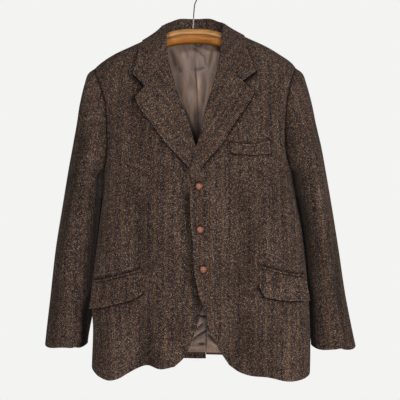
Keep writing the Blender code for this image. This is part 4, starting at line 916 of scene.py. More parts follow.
def normals_out(rings):
    """Unit normals of rings that are closed on themselves, facing away from their middles."""
    normal = grid_normals(rings, closed_columns=True)
    out = rings - rings.mean(axis=1, keepdims=True)
    return normal if np.einsum("ijk,ijk->", normal, out) > 0 else -normal


def sleeve_rings(side):
    """Rings from the armhole to the cuff: ovals between the outer and inner lines, at the cosine
    of the turn across and its sine in depth, which start as the armhole's own shape. An oval's
    inner back quarter is drawn in behind the body, and the cuff has a step and low corners."""
    hole = armhole_ring(side)
    count = len(hole)
    knots, *lines = [ARMS[side][name][::-1] for name in SLEEVE_COLUMNS]
    share = even(SLEEVE_RINGS)[:, None] ** SLEEVE_CROWD
    outer_x, outer_z, inner_x, inner_z, half_depth, middle = [
        smooth(share, knots, line) for line in lines]
    turn = np.arange(count)[None] / count
    phase = 2.0 * math.pi * turn
    away = np.cos(phase)
    x = (outer_x + inner_x) / 2 + away * (outer_x - inner_x) / 2
    z = (outer_z + inner_z) / 2 + away * (outer_z - inner_z) / 2
    y = middle - np.sin(phase) * half_depth
    quarter = 2.0 * np.clip(np.sin(phase) * away, 0.0, None) * (away < 0.0)
    start, end = [ease((share - place) / length) for place, length in SLEEVE_WRAP_ENDS]
    x = x - SLEEVE_WRAP * quarter * (start * (1.0 - end))
    nick, level = [ease((share - place) / length)
                   for place, length in (CUFF_NICK_RISE, CUFF_LEVEL_RISE)]
    z = z + CUFF_NICK * np.exp(-((turn - CUFF_NICK_TURN[side]) / CUFF_NICK_WIDTH) ** 2) * nick
    z = z - CUFF_LEVEL * np.sin(2.0 * phase) ** 2 * level
    rings = np.stack([side * x, y, z], axis=-1)
    fade_or_painted_shade = 1.0 - ease(share / HOLE_FADE)
    rings = rings + fade_or_painted_shade[..., None] * (hole - rings[0])[None]
    rings[..., 0] += side * SLEEVE_CLEAR
    bulge = sleeve_fold(side, share, turn) * ease(share / BULGE_START)
    rings = rings + normals_out(rings) * bulge[..., None]
    return rings, normals_out(rings), bulge


def turned_profile(fold, seam, edge_rows, layer, stand_cells, spring):
    """A folded strip, as one net of points: from the seam up its stand, over the fold in a
    half round and down its fall, which springs off the cloth below with the square of its
    width. fold and seam are rows of places, edge_rows a net of places from the fold (first
    column) to the outer edge, and spring is each row's lift at that edge."""
    sizes, _ = chosen()
    radius = (CLEAR + sizes.cloth) / 2.0
    top = on_skin(fold, 0.0, layer)
    out = outward(fold[:, 0], fold[:, 1], layer)
    beyond = top - on_skin(edge_rows[:, FINE], 0.0, layer)
    beyond = unit(beyond - out * np.einsum("ij,ij->i", beyond, out)[:, None])
    stand = [on_skin(fold + (seam - fold) * share, -sizes.cloth / 2, layer)
             for share in np.linspace(1.0, 0.0, stand_cells + 1)[:-1]]
    arc = [top + out * (CLEAR / 2 - radius * math.cos(turn)) + beyond * (radius * math.sin(turn))
           for turn in np.linspace(0.0, math.pi, FOLD_POINTS)]
    last = edge_rows.shape[1] - 1
    fall = [on_skin(edge_rows[:, k],
                    CLEAR + sizes.cloth / 2 + (spring - EDGE_REST) * (k / last) ** 2, layer)
            for k in range(1, last + 1)]
    return np.stack(stand + arc + fall, axis=1)


def lapel_places(side):
    """Fold, seam and fall places of a lapel, from the gorge down to the break."""
    shares = even(LAPEL_ROWS)
    across = even(FALL_CELLS)
    roll_xz = walk(ROLL[side], shares)
    edge_xz = walk(LAPEL_EDGE[side], shares)
    net_xz = roll_xz[:, None] + (edge_xz - roll_xz)[:, None] * across[None, :, None]
    start_x, tip = ROLL[side][0][0], LAPEL_EDGE[side][0]
    corner_share = abs(NOTCH[side][0] - start_x) / abs(tip[0] - start_x)
    net_xz = bent_to_gorge(net_xz, over_notch(side, tip, corner_share, across), shares)
    net = places(net_xz, "front")
    seam = places(roll_xz + np.array([side * TURN_STAND, 0.0]), "front")
    return net[:, 0], seam, net


def distance_to(line, x, z):
    """Distance of flat places from a path of straight steps: to the nearest of its steps, on
    which each place is dropped square and held between the step's ends."""
    line = np.asarray(line, float)
    best = np.full(x.shape, np.inf)
    for start, end in zip(line[:-1], line[1:]):
        step = end - start
        share = ((x - start[0]) * step[0] + (z - start[1]) * step[1]) / (step @ step)
        near = start[:, None, None] + np.clip(share, 0.0, 1.0) * step[:, None, None]
        best = np.minimum(best, np.hypot(x - near[0], z - near[1]))
    return best


def edge_dips_and_shade(side, x, z):
    """How far a front sinks beside the edges that lie on it, a bell round each edge, and how
    dark the shade painted there is, as a share."""
    collar = [(side * row[5], row[6]) for row in COLLAR[side] if row[0] == "front"]
    edges = [(LAPEL_EDGE[side][:-1], *LAPEL_DIP), (collar, *LAPEL_DIP),
             ((collar[0], NOTCH[side], LAPEL_EDGE[side][0]), *NOTCH_DIP),
             ([(row[2], row[3]) for row in FLAP[side]], *FLAP_DIP),
             ([(row[0], row[1] + JETTING_HEIGHT) for row in FLAP[side]], *TRIM_DIP)]
    if side == LEFT:
        edges.append(([(row[0], row[1]) for row in WELT], *TRIM_DIP))
        edges.append(([(row[2], row[3]) for row in WELT], *TRIM_DIP))
    else:
        edges.append((FRONT_EDGE[LEFT][:9], *CLOSURE_DIP))
    sunk = np.zeros_like(x)
    fade_or_painted_shade = np.zeros_like(x)
    for line, depth, width, dark in edges:
        bell = np.exp(-(distance_to(line, x, z) / width) ** 2)
        sunk = np.maximum(sunk, depth * bell)
        fade_or_painted_shade = np.minimum(fade_or_painted_shade, -dark * bell)
    return sunk, fade_or_painted_shade


# ---- shells ------------------------------------------------------------------------------
def rounded_border(grid, uv, half, gaps, thickness):
    """Adds rows beside the first and last row of a grid. At a distance d from the edge a cloth
    of thickness t is half as thick as the root of t d - d squared, which rounds the edge off."""
    distances = np.concatenate([[0.0], RIM_STEPS]) * thickness
    heights = np.sqrt(np.clip(thickness * distances - distances ** 2, 0.0, None))
    for end, gap in ((0, gaps[0]), (1, gaps[1])):
        if end:
            grid, uv, half = grid[::-1], uv[::-1], half[::-1]
        step = grid[1] - grid[0]
        length = np.maximum(np.linalg.norm(step, axis=-1, keepdims=True), TINY)[None]
        first = np.minimum(gap / length, RIM_SHARES[0])
        span = np.minimum(distances[-1] / length, RIM_SHARES[1] - first)
        shares = first + span * (distances / distances[-1])[:, None, None]
        rows = grid[0] + step * shares
        uv_rows = uv[0] + (uv[1] - uv[0]) * shares
        half_rows = np.minimum(heights[:, None], half[0])
        grid = np.concatenate([rows, grid[1:]])
        uv = np.concatenate([uv_rows, uv[1:]])
        half = np.concatenate([half_rows, half[1:]])
        if end:
            grid, uv, half = grid[::-1], uv[::-1], half[::-1]
    return grid, uv, half


def new_object(name, data):
    """Puts a mesh, lamp or camera into the scene."""
    made = bpy.data.objects.new(name, data)
    bpy.context.scene.collection.objects.link(made)
    return made


def mesh_object(name, points, faces, uv, finish):
    """A smooth mesh with one map, in metres of cloth, turned so that its volume is positive. A
    third map value is the light (above 0) and shade (below 0) painted on the cloth."""
    corners = points[faces]
    first = np.cross(corners[:, 1] - corners[:, 0], corners[:, 2] - corners[:, 0])
    second = np.cross(corners[:, 2] - corners[:, 0], corners[:, 3] - corners[:, 0])
    if np.einsum("ij,ij->", corners[:, 0], first + second) < 0:
        faces = faces[:, ::-1]
    mesh = bpy.data.meshes.new(name)
    mesh.from_pydata(points.tolist(), [], faces.tolist())
    layer = mesh.uv_layers.new(name="cloth")
    layer.uv.foreach_set("vector", uv[faces.reshape(-1), :2].astype(np.float32).reshape(-1))
    # The painted shade and light, the third map value, go into their own point attribute.
    if uv.shape[1] > 2:
        fade_or_painted_shade = mesh.attributes.new("fade_or_painted_shade", "FLOAT", "POINT")
        fade_or_painted_shade.data.foreach_set("value", uv[:, 2].astype(np.float32))
    mesh.materials.append(finish)
    mesh.shade_smooth()
    return new_object(name, mesh)


def shell(name, middle, uv, thickness, finish, rows, columns):
    """A closed cloth wall: each point of the middle surface moved out and in along its normal
    by half the thickness, with rounded edges where both sides share their points."""
    half = np.full(middle.shape[:2], thickness / 2.0)
    grid, uv, half = rounded_border(middle, uv, half, rows, thickness)
    turned = [np.swapaxes(array, 0, 1) for array in (grid, uv, half)]
    grid, uv, half = rounded_border(*turned, columns, thickness)
    grid, uv, half = [np.swapaxes(array, 0, 1) for array in (grid, uv, half)]
    normal = grid_normals(grid)
    outer = grid + normal * half[..., None]
    inner = grid - normal * half[..., None]
    front = np.arange(half.size).reshape(half.shape)
    back = front.copy()
    inside = back[1:-1, 1:-1]
    inside[:] = half.size + np.arange(inside.size).reshape(inside.shape)
    points = np.concatenate([outer.reshape(-1, 3), inner[1:-1, 1:-1].reshape(-1, 3)])
    values = uv.shape[2]
    map_points = np.concatenate([uv.reshape(-1, values), uv[1:-1, 1:-1].reshape(-1, values)])
    faces = []
    for index, order in ((front, 1), (back, -1)):
        quads = np.stack([index[:-1, :-1], index[1:, :-1], index[1:, 1:], index[:-1, 1:]], axis=-1)
        faces.append(quads.reshape(-1, 4)[:, ::order])
    return mesh_object(name, points, np.concatenate(faces), map_points, finish)


def cloth_map(middle, start):
    """Map of a grid in metres: across, the length run along its row from the start; up, the
    height run along its columns from the first row."""
    across = np.linalg.norm(np.diff(middle, axis=1), axis=-1)
    across = np.concatenate([np.zeros((len(middle), 1)), np.cumsum(across, axis=1)], axis=1)
    up = np.linalg.norm(np.diff(middle, axis=0), axis=-1)
    up = np.concatenate([np.zeros((1, middle.shape[1])), np.cumsum(up, axis=0)])
    return np.stack([start + across, up], axis=-1)


def with_painted_shade(uv, fade_or_painted_shade):
    """A cloth map with the painted shade and light as its third value."""
    return np.concatenate([uv, np.broadcast_to(fade_or_painted_shade, uv.shape[:2])[..., None]], axis=-1)


def painted_fold_shade(height, reach):
    """Shade painted in a trough and light painted on a ridge: their height as a share of the
    reach, held between two ends."""
    return FOLD_SHADE_SHARE * np.clip(height / reach, *FOLD_SHADE_ENDS)


def shade_beside_body(points, side):
    """Shade painted on a sleeve where it hangs against the body: a wide bell and a narrow one
    of its distance from the front's armhole edge, and further down from the body's own side or
    the sleeve's inner line, with a wedge of painted shade beside it down to the cuff."""
    z = points[..., 2]
    edge = np.abs(np.array(FRONT_ARMHOLE[side][::-1]))
    widest = section(WORD[side], np.minimum(z, ARMPIT))
    inner = smooth(z, ARMS[side]["inner_z"], ARMS[side]["inner_x"])
    reach = np.where(z < ARMPIT, widest, np.interp(z, -edge[:, 1], edge[:, 0]))
    reach = np.maximum(reach, inner * (z < -0.5)) + SLEEVE_WEDGE[side] * below(z, -0.700, 0.080)
    away = np.clip(np.abs(points[..., 0]) - reach, 0.0, None) / SLEEVE_SHADE[side]
    dark = 0.62 * np.exp(-away ** 2) + 0.38 * np.exp(-(3.5 * away) ** 2)
    return -dark * below(z, -0.27, 0.10)


def beside(middle, axis, end, width):
    """A bell of the way run from one border of a grid, down its columns (axis 0) or along its
    rows (axis 1), from the first (end 0) or the last of them (end 1)."""
    steps = np.linalg.norm(np.diff(middle, axis=axis), axis=-1)
    if end:
        steps = np.flip(steps, axis)
    run = np.cumsum(steps, axis=axis)
    start = np.zeros_like(np.take(run, [0], axis=axis))
    run = np.concatenate([start, run], axis=axis)
    if end:
        run = np.flip(run, axis)
    return np.exp(-(run / width) ** 2)


def arm_map(points, side, turned):
    """Map of a sleeve in metres: up, the height; across, the way round the arm from its outer
    line. On an oval of half width a and half depth b that is, for a turn t, nearly half of
    (a + b) t, plus a quarter of (b - a) times the sine of 2 t."""
    arm = ARMS[side]
    x, y, z = points[..., 0] * side, points[..., 1], points[..., 2]
    outer_x, middle_y, half_depth = [
        smooth(z, arm["outer_z"], arm[name]) for name in ("outer_x", "middle", "half_depth")]
    inner_x = smooth(z, arm["inner_z"], arm["inner_x"])
    half_width = np.maximum((outer_x - inner_x) / 2, ARM_HALF_WIDTH)
    turn = np.arctan2((middle_y - y) / half_depth, (x - outer_x + half_width) / half_width)
    if turned:
        turn = np.where(turn < 0.0, turn + 2.0 * np.pi, turn)
    arc = (half_width + half_depth) * turn / 2 + (half_depth - half_width) * np.sin(2.0 * turn) / 4
    return np.stack([arc, z], axis=-1)


def ring_quads(count, sides):
    """Faces between each ring of points and the next, every ring closed on itself."""
    index = np.arange(count * sides).reshape(count, sides)
    after = np.roll(index, -1, axis=1)
    return np.stack([index[:-1], after[:-1], after[1:], index[1:]], axis=-1).reshape(-1, 4)


def ring_object(name, rings, across, along, finish):
    """A closed form from rings of points, its map two values spread over the rings."""
    shape = rings.shape[:2]
    uv = np.stack([np.broadcast_to(value, shape) for value in (across, along)], axis=-1)
    return mesh_object(name, rings.reshape(-1, 3), ring_quads(*shape), uv.reshape(-1, 2), finish)


def bent_wire(name, centres, radii, sides, finish):
    """A round bar: at each place along its path, points at the cosine and sine of the turn
    times the radius, square to the path; its ends are closed by shrinking rings."""
    along = unit(np.gradient(centres, axis=0))
    aside = unit(np.cross(np.array([0.0, 1.0, 0.0]), along))
    other = np.cross(along, aside)
    turn = once_round(sides)
    radii = radii[:, None]
    rings = (centres[:, None] + aside[:, None] * (np.cos(turn) * radii)[..., None]
             + other[:, None] * (np.sin(turn) * radii)[..., None])
    run = np.concatenate([[0.0], np.cumsum(np.linalg.norm(np.diff(centres, axis=0), axis=1))])
    return ring_object(name, rings, turn / (2 * np.pi), run[:, None], finish)


# ---- finishes ----------------------------------------------------------------------------
def linear(colour):
    """Linear light of an sRGB hex colour, with a full fourth value."""
    value = np.array([int(colour[place:place + 2], 16) / 255.0 for place in (0, 2, 4)])
    low = value / 12.92
    high = ((value + 0.055) / 1.055) ** 2.4
    return (*(float(part) for part in np.where(value <= 0.04045, low, high)), 1.0)


def node(tree, kind, gives, inputs=None, stops=None, **settings):
    """Adds a node with its settings, its colour stops and its inputs, each a value or a link,
    and gives back the named output."""
    made = tree.nodes.new(kind)
    for name, value in settings.items():
        setattr(made, name, value)
    for name, value in (inputs or {}).items():
        if isinstance(value, bpy.types.NodeSocket):
            tree.links.new(value, made.inputs[name])
        else:
            made.inputs[name].default_value = value
    if stops:
        elements = made.color_ramp.elements
        while len(elements) < len(stops):
            elements.new(0.5)
        for element, (place, colour) in zip(elements, stops):
            element.position = place
            element.color = linear(colour)
    return made.outputs[gives]


def new_material(name, settings):
    """A material with one Principled shader and its plain socket values."""
    made = bpy.data.materials.new(name)
    made.use_nodes = True
    tree = made.node_tree
    shader = tree.nodes["Principled BSDF"]
    for socket, value in settings.items():
        shader.inputs[socket].default_value = value
    return made, tree, shader


def cells(across, along):
    """Scale that turns metres of cloth into cells of a pattern."""
    return (1.0 / across, 1.0 / along, 1.0)


def pattern(tree, kind, gives, place, scale, sockets):
    """A texture laid over a place, which the scale turns into the texture's own cells."""
    spread = node(tree, "ShaderNodeMapping", "Vector", {"Vector": place, "Scale": scale})
    return node(tree, kind, gives, {"Vector": spread, "Scale": 1.0, **sockets})


def finish_surface(tree, shader, colour, shades, relief, strength, distance):
    """Links a surface: its colour times the brightness that each shade gives, and its relief. A
    shade is a pattern, its lowest and highest value, and the brightness at each of these."""
    for pattern, low, high, dark, pale in shades:
        brightness = node(tree, "ShaderNodeMapRange", "Result", {
            "Value": pattern, "From Min": low, "From Max": high, "To Min": dark, "To Max": pale})
        colour = node(tree, "ShaderNodeVectorMath", "Vector", {0: colour, "Scale": brightness},
                      operation="SCALE")
    bump = node(tree, "ShaderNodeBump", "Normal", {
        "Height": relief, "Strength": strength, "Distance": distance})
    tree.links.new(colour, shader.inputs["Base Color"])
    tree.links.new(bump, shader.inputs["Normal"])


def woven_tweed():
    """Carded wool tweed: thick soft yarns, each spun from many dyed fibres, so that dots of
    rust, ochre, moss, slate and pale grey show in a brown ground. Warp stripes of warmer and
    cooler yarns run down the cloth. It has no shine, only a fibre halo."""
    sizes, _ = chosen()
    made, tree, shader = new_material("woven_wool_tweed", {
        "Roughness": 0.95, "Specular IOR Level": 0.06, "Sheen Weight": 0.04,
        "Sheen Roughness": 0.6, "Sheen Tint": (0.75, 0.68, 0.62, 1.0)})
    cloth = node(tree, "ShaderNodeUVMap", "UV", uv_map="cloth")
    # The shade and light painted on each piece scale its colour.
    fade_or_painted_shade = node(tree, "ShaderNodeAttribute", "Fac", attribute_name="fade_or_painted_shade")
    fleck = sizes.fleck_size / 1000.0       # a real yarn is 1 mm: drawn coarser, so that it shows
    pitch = sizes.stripe_pitch / 1000.0

    # Uneven tones of the cloth: how wide and how long a patch of each is, and how broken up.
    tones = {}
    for name, wide, long, detail in (
            ("yarns", pitch * 0.22, pitch * 8.0, 1.0), ("slubs", fleck * 0.7, fleck * 0.9, 1.0),
            ("patches", 0.045, 0.110, 2.0), ("lines", fleck * 2.2, fleck * 30.0, 1.0),
            ("fuzz", fleck * 0.6, fleck * 0.8, 3.0)):
        tones[name] = pattern(tree, "ShaderNodeTexNoise", "Fac", cloth, cells(wide, long),
                              {"Detail": detail})

    # Warp stripes: one warm group of yarns in each pitch, a little uneven in width and tone.
    wave = pattern(tree, "ShaderNodeTexWave", "Fac", cloth, cells(pitch, pitch * 30.0), {
        "Scale": 0.314159, "Distortion": 2.2, "Detail": 2.0, "Detail Scale": 4.0})
    stripes = node(tree, "ShaderNodeMix", 0, {0: 0.60, 2: wave, 3: tones["yarns"]})
    ground = node(tree, "ShaderNodeValToRGB", "Color", {"Fac": stripes}, (
        (0.25, "251d21"), (0.43, "2e2423"), (0.56, "392b25"), (0.80, "4d3628")))

    # Single fibres of the carded yarn, and bigger dyed flecks, each of one strong colour: how
    # wide and long each spot is, and the colours that it may take.
    spots = []
    for wide, long, colours in (
            (0.95, 1.15, ((0.00, "080605"), (0.32, "1b1413"), (0.57, "342823"), (0.80, "5e4c41"),
                          (1.00, "9f8b79"))),
            (1.50, 2.00, ((0.00, "7b4829"), (0.30, "715130"), (0.50, "524a31"), (0.70, "443f4a"),
                          (1.00, "633930")))):
        size = cells(fleck * wide, fleck * long)
        spot = pattern(tree, "ShaderNodeTexVoronoi", "Color", cloth, size, {})
        draw = node(tree, "ShaderNodeSeparateColor", "Red", {"Color": spot})
        spots.append(node(tree, "ShaderNodeValToRGB", "Color", {"Fac": draw}, colours))
    spun = node(tree, "ShaderNodeMix", 2, {0: 0.55, 6: ground, 7: spots[0]}, data_type="RGBA")
    share = node(tree, "ShaderNodeMapRange", "Result", {
        "Value": node(tree, "ShaderNodeSeparateColor", "Green", {"Color": spot}),
        "From Min": 0.70, "From Max": 1.00, "To Max": 0.24})
    dotted = node(tree, "ShaderNodeMix", 2, {0: share, 6: spun, 7: spots[1]}, data_type="RGBA")

    # Herringbone: diagonal lines of yarn that turn back at each column's edge. The real lines
    # are 2.5 mm apart, drawn at twice that, so that they show; a column is half the wale wide.
    column_width = sizes.wale / 2000.0
    across = node(tree, "ShaderNodeMath", "Value", {
        0: node(tree, "ShaderNodeSeparateXYZ", "X", {"Vector": cloth}), 1: column_width},
        operation="PINGPONG")
    slant = node(tree, "ShaderNodeMath", "Value", {
        0: node(tree, "ShaderNodeSeparateXYZ", "Y", {"Vector": cloth}), 1: across}, operation="ADD")
    phase = node(tree, "ShaderNodeMath", "Value", {0: slant, 1: 2.0 * math.pi / TWILL_LINE},
                 operation="MULTIPLY")
    twill = node(tree, "ShaderNodeMath", "Value", {0: phase}, operation="SINE")
    relief = node(tree, "ShaderNodeMath", "Value", {0: twill, 1: 0.20, 2: tones["fuzz"]},
                  operation="MULTIPLY_ADD")
    finish_surface(tree, shader, dotted, (
        (tones["lines"], 0.25, 0.75, 0.82, 1.18), (tones["patches"], 0.30, 0.70, 0.84, 1.16),
        (tones["slubs"], 0.25, 0.75, 0.40, 1.54), (twill, -1.0, 1.0, 0.80, 1.20),
        (across, 0.0, column_width, 0.88, 1.12), (fade_or_painted_shade, *PAINTED_SHADE_RANGE)), relief, 0.6, 0.0007)
    return made


def satin_lining():
    """Viscose satin, calendered smooth: a taupe lining with a broad soft sheen and the tiny
    creases it keeps from wear."""
    made, tree, shader = new_material("lining_satin", {
        "Roughness": 0.55, "Specular IOR Level": 0.35, "Sheen Weight": 0.15,
        "Sheen Roughness": 0.4, "Sheen Tint": (0.85, 0.75, 0.65, 1.0)})
    cloth = node(tree, "ShaderNodeUVMap", "UV", uv_map="cloth")
    # The shade and light painted on each piece scale its colour.
    fade_or_painted_shade = node(tree, "ShaderNodeAttribute", "Fac", attribute_name="fade_or_painted_shade")
    tint = pattern(tree, "ShaderNodeTexNoise", "Fac", cloth, cells(0.030, 0.120), {"Detail": 4.0})
    colour = node(tree, "ShaderNodeValToRGB", "Color", {"Fac": tint}, (
        (0.25, "6f5d54"), (0.50, "846e62"), (0.68, "99795f"), (0.84, "ae8863")))
    # Tiny creases: the same pattern is their relief and paints their troughs darker and ridges
    # paler, as painted shade and light.
    small_creases = pattern(tree, "ShaderNodeTexNoise", "Fac", cloth, cells(0.008, 0.030), {
        "Detail": 5.0, "Roughness": 0.7, "Distortion": 0.6})
    finish_surface(tree, shader, colour, ((fade_or_painted_shade, *PAINTED_SHADE_RANGE), (small_creases, 0.30, 0.70, 0.74, 1.24)),
                   small_creases, 0.5, 0.0025)
    return made


def knotted_leather():
    """Hide strips plaited into a knot and polished: red-brown, with shade painted darker in the
    gaps and where the rim turns under."""
    made, tree, shader = new_material("plaited_leather", {
        "Roughness": 0.42, "Specular IOR Level": 0.30, "Coat Weight": 0.10, "Coat Roughness": 0.30})
    # The shade painted at each point: dark in the gaps and at the rim, palest on top.
    depth = node(tree, "ShaderNodeAttribute", "Fac", attribute_name="strand_shade")
    grain = node(tree, "ShaderNodeTexNoise", "Fac", {
        "Vector": node(tree, "ShaderNodeTexCoord", "Object"), "Scale": 900.0, "Detail": 3.0})
    colour = node(tree, "ShaderNodeValToRGB", "Color", {"Fac": depth}, (
        (0.08, "1c0b06"), (0.35, "3f1f13"), (0.70, "693a25"), (1.00, "91583d")))
    finish_surface(tree, shader, colour, ((grain, 0.3, 0.7, 0.75, 1.20),), grain, 0.3, 0.0003)
    return made


def varnished_wood():
    """Turned beech under amber varnish: long fine grain along the bow, a scored line along its
    face with shade painted in it, a deeper orange below the line and darker towards the lower edge."""
    made, tree, shader = new_material("varnished_beech", {
        "Roughness": 0.5, "Specular IOR Level": 0.2, "Coat Weight": 0.12, "Coat Roughness": 0.35})
    place = node(tree, "ShaderNodeTexCoord", "Object")
    grain = pattern(tree, "ShaderNodeTexNoise", "Fac", place, (22.0, 420.0, 420.0), {
        "Detail": 4.0, "Roughness": 0.65})
    height = node(tree, "ShaderNodeSeparateXYZ", "X", {
        "Vector": node(tree, "ShaderNodeUVMap", "UV", uv_map="cloth")})
    band = node(tree, "ShaderNodeMapRange", "Result", {
        "Value": height, "From Min": -0.020, "From Max": 0.020})
    # Tones up the bow's height; the dark stop at the scored line is painted shade.
    tones = node(tree, "ShaderNodeValToRGB", "Color", {"Fac": band}, (
        (0.05, "6f3c0e"), (0.20, "a8661a"), (0.30, "9f5c12"), (0.45, "925a13"), (0.50, "8a5514"),
        (0.54, "6a401a"), (0.575, "996832"), (0.66, "c89562"), (0.74, "b0804a"), (0.95, "a17648")))
    finish_surface(tree, shader, tones, ((grain, 0.30, 0.70, 0.50, 1.45),), grain, 0.15, 0.0003)
    return made


def drawn_steel():
    """Bright drawn steel wire, its colour painted bright low down, inside the collar, and dark in
    its upper half: painted reflection."""
    made, tree, shader = new_material("bright_steel", {"Metallic": 1.0})
    place = node(tree, "ShaderNodeTexCoord", "Object")
    # Painted reflection: bright below, inside the collar, and dark above it.
    height = node(tree, "ShaderNodeMapRange", "Result", {
        "Value": node(tree, "ShaderNodeSeparateXYZ", "Z", {"Vector": place}),
        "From Min": -0.095, "From Max": -0.086})
    tone = node(tree, "ShaderNodeValToRGB", "Color", {"Fac": height}, (
        (0.0, "bdb6af"), (1.0, "5c5a57")))
    tree.links.new(tone, shader.inputs["Base Color"])
    marks = node(tree, "ShaderNodeTexNoise", "Fac", {"Vector": place, "Scale": 700.0})
    rough = node(tree, "ShaderNodeMapRange", "Result", {
        "Value": marks, "From Min": 0.3, "From Max": 0.7, "To Min": 0.22, "To Max": 0.42})
    tree.links.new(rough, shader.inputs["Roughness"])
    return made


def matt_paint():
    """Matt emulsion, rolled on: a faint stipple and no shine."""
    _, colours = chosen()
    made, tree, shader = new_material("matt_white_paint", {
        "Base Color": (*colours.floor, 1.0), "Roughness": 0.9, "Specular IOR Level": 0.2})
    stipple = node(tree, "ShaderNodeTexNoise", "Fac", {
        "Vector": node(tree, "ShaderNodeTexCoord", "Object"), "Scale": 400.0})
    bump = node(tree, "ShaderNodeBump", "Normal", {
        "Height": stipple, "Strength": 0.05, "Distance": 0.0004})
    tree.links.new(bump, shader.inputs["Normal"])
    return made


# ---- sizes and colours -------------------------------------------------------------------
class JacketSizes(PropertyGroup):
    """Sizes that a user would change."""
    cloth: FloatProperty(name="Tweed", description="Thickness of the tweed", default=0.0024,
                         unit="LENGTH", precision=4)
    lining: FloatProperty(name="Lining", description="Thickness of the lining", default=0.0012,
                          unit="LENGTH", precision=4)
    crease: FloatProperty(name="Creases", description="Depth of creases, as a share of their own",
                          default=1.0, subtype="FACTOR", min=0.0, max=2.0)
    fleck_size: FloatProperty(name="Fleck", description="Width of a coloured fleck, in mm",
                              default=1.3, min=0.5, max=8.0)
    stripe_pitch: FloatProperty(name="Stripe pitch", description="From warp stripe to stripe, in mm",
                                default=25.0, min=4.0, max=60.0)
    wale: FloatProperty(name="Wale", description="Width of a pair of herringbone columns, in mm",
                        default=11.0, min=4.0, max=40.0)
    button: FloatProperty(name="Button", description="Radius of a button", default=0.0100,
                          unit="LENGTH", precision=4)
    button_dome: FloatProperty(name="Button height", description="Height of a button's dome",
                               default=0.0058, unit="LENGTH", precision=4)
    wire: FloatProperty(name="Hook wire", description="Radius of the hook's wire", default=0.0014,
                        unit="LENGTH", precision=4)
    floor_drop: FloatProperty(name="Floor", description="How far the floor is below the hook",
                              default=1.65, unit="LENGTH")


class JacketColours(PropertyGroup):
    """Colours of the studio."""
    floor: FloatVectorProperty(name="Floor", description="Paint of the floor", subtype="COLOR",
                               default=linear("e9e8e5")[:3], min=0.0, max=1.0)
    air: FloatVectorProperty(name="Surroundings", description="Light of the surroundings",
                             subtype="COLOR", default=linear("f3f3f2")[:3], min=0.0, max=1.0)


def chosen():
    """The sizes and colours in use."""
    scene = bpy.context.scene
    return scene.jacket_sizes, scene.jacket_colours


def finish_named(name):
    """A finish, made when it is first asked for."""
    if name not in FINISHES:
        FINISHES[name] = MAKERS[name]()
    return FINISHES[name]


FINISHES = {}
MAKERS = {"woven_wool_tweed": woven_tweed, "lining_satin": satin_lining,
          "plaited_leather": knotted_leather, "varnished_beech": varnished_wood,
          "bright_steel": drawn_steel}


def place_piece(piece, solid=None):
    """Joins a piece to the jacket: it rides on the one body and stands for its solid, which is
    hidden."""
    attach(piece, "root")
    if solid:
        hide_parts(solid)


def cloth_piece(cloth, name, middle, uv, fade_or_painted_shade, rows=SEAM_GAPS, columns=SEAM_GAPS, solid=True):
    """Makes a piece of tweed or satin on its middle surface, with its thickness and finish."""
    sizes, _ = chosen()
    tweed = cloth == "tweed"
    thickness = sizes.cloth if tweed else sizes.lining
    finish = "woven_wool_tweed" if tweed else "lining_satin"
    # The map carries the painted shade and light as its third value.
    made = shell(f"{cloth}_{name}", middle, with_painted_shade(uv, fade_or_painted_shade), thickness, finish_named(finish),
                 rows, columns)
    place_piece(made, name if solid else None)


# ---- pieces --------------------------------------------------------------------------------
def panel(side, face, net, layer):
    """Makes a front or half back: the body surface at each place of its net, half a wall inward."""
    sizes, _ = chosen()
    name = f"{face}_{WORD[side]}"
    middle = on_skin(net, -sizes.cloth / 2, layer)
    uv = cloth_map(middle, middle[:, :1, 0] * side + BOLT_START[name])
    # Shade painted in the folds' troughs and light painted on their ridges.
    fade_or_painted_shade = painted_fold_shade(fold_height(face, middle[..., 0], middle[..., 2]), CREASE_SHADE_HEIGHT)
    if face == "front":
        # The front sinks beside the edges that lie on it, and shade is painted there.
        sunk, painted_edge_shade = edge_dips_and_shade(side, middle[..., 0], middle[..., 2])
        fade_or_painted_shade = np.minimum(fade_or_painted_shade + painted_edge_shade, np.maximum(fade_or_painted_shade, painted_edge_shade))
        middle = on_skin(net, -sizes.cloth / 2 - sunk, layer)
        # A highlight painted along the upper front's closure edge.
        if side == LEFT:
            fade_or_painted_shade = fade_or_painted_shade + CLOSURE_HIGHLIGHT[0] * beside(middle, 1, 0, CLOSURE_HIGHLIGHT[1])
    # Shade painted along the armhole seam.
    hole = slice(SIDE_ROWS, SIDE_ROWS + ARMHOLE_ROWS)
    dark, width = HOLE_SHADE
    fade_or_painted_shade[hole] = np.minimum(fade_or_painted_shade[hole], -dark * beside(middle[hole], 1, 1, width))
    uv[..., 1] = net[..., 1]
    cloth_piece("tweed", name, middle, uv, fade_or_painted_shade)


class JACKET_OT_panels(Operator):
    """Make the fronts and the two halves of the back."""
    bl_idname = "jacket.panels"
    bl_label = "Fronts and back"

    def execute(self, context):
        for side in (LEFT, RIGHT):
            panel(side, "front", front_net(side), "over" if side == LEFT else "under")
            panel(side, "back", back_net(side), "under")
        return {"FINISHED"}


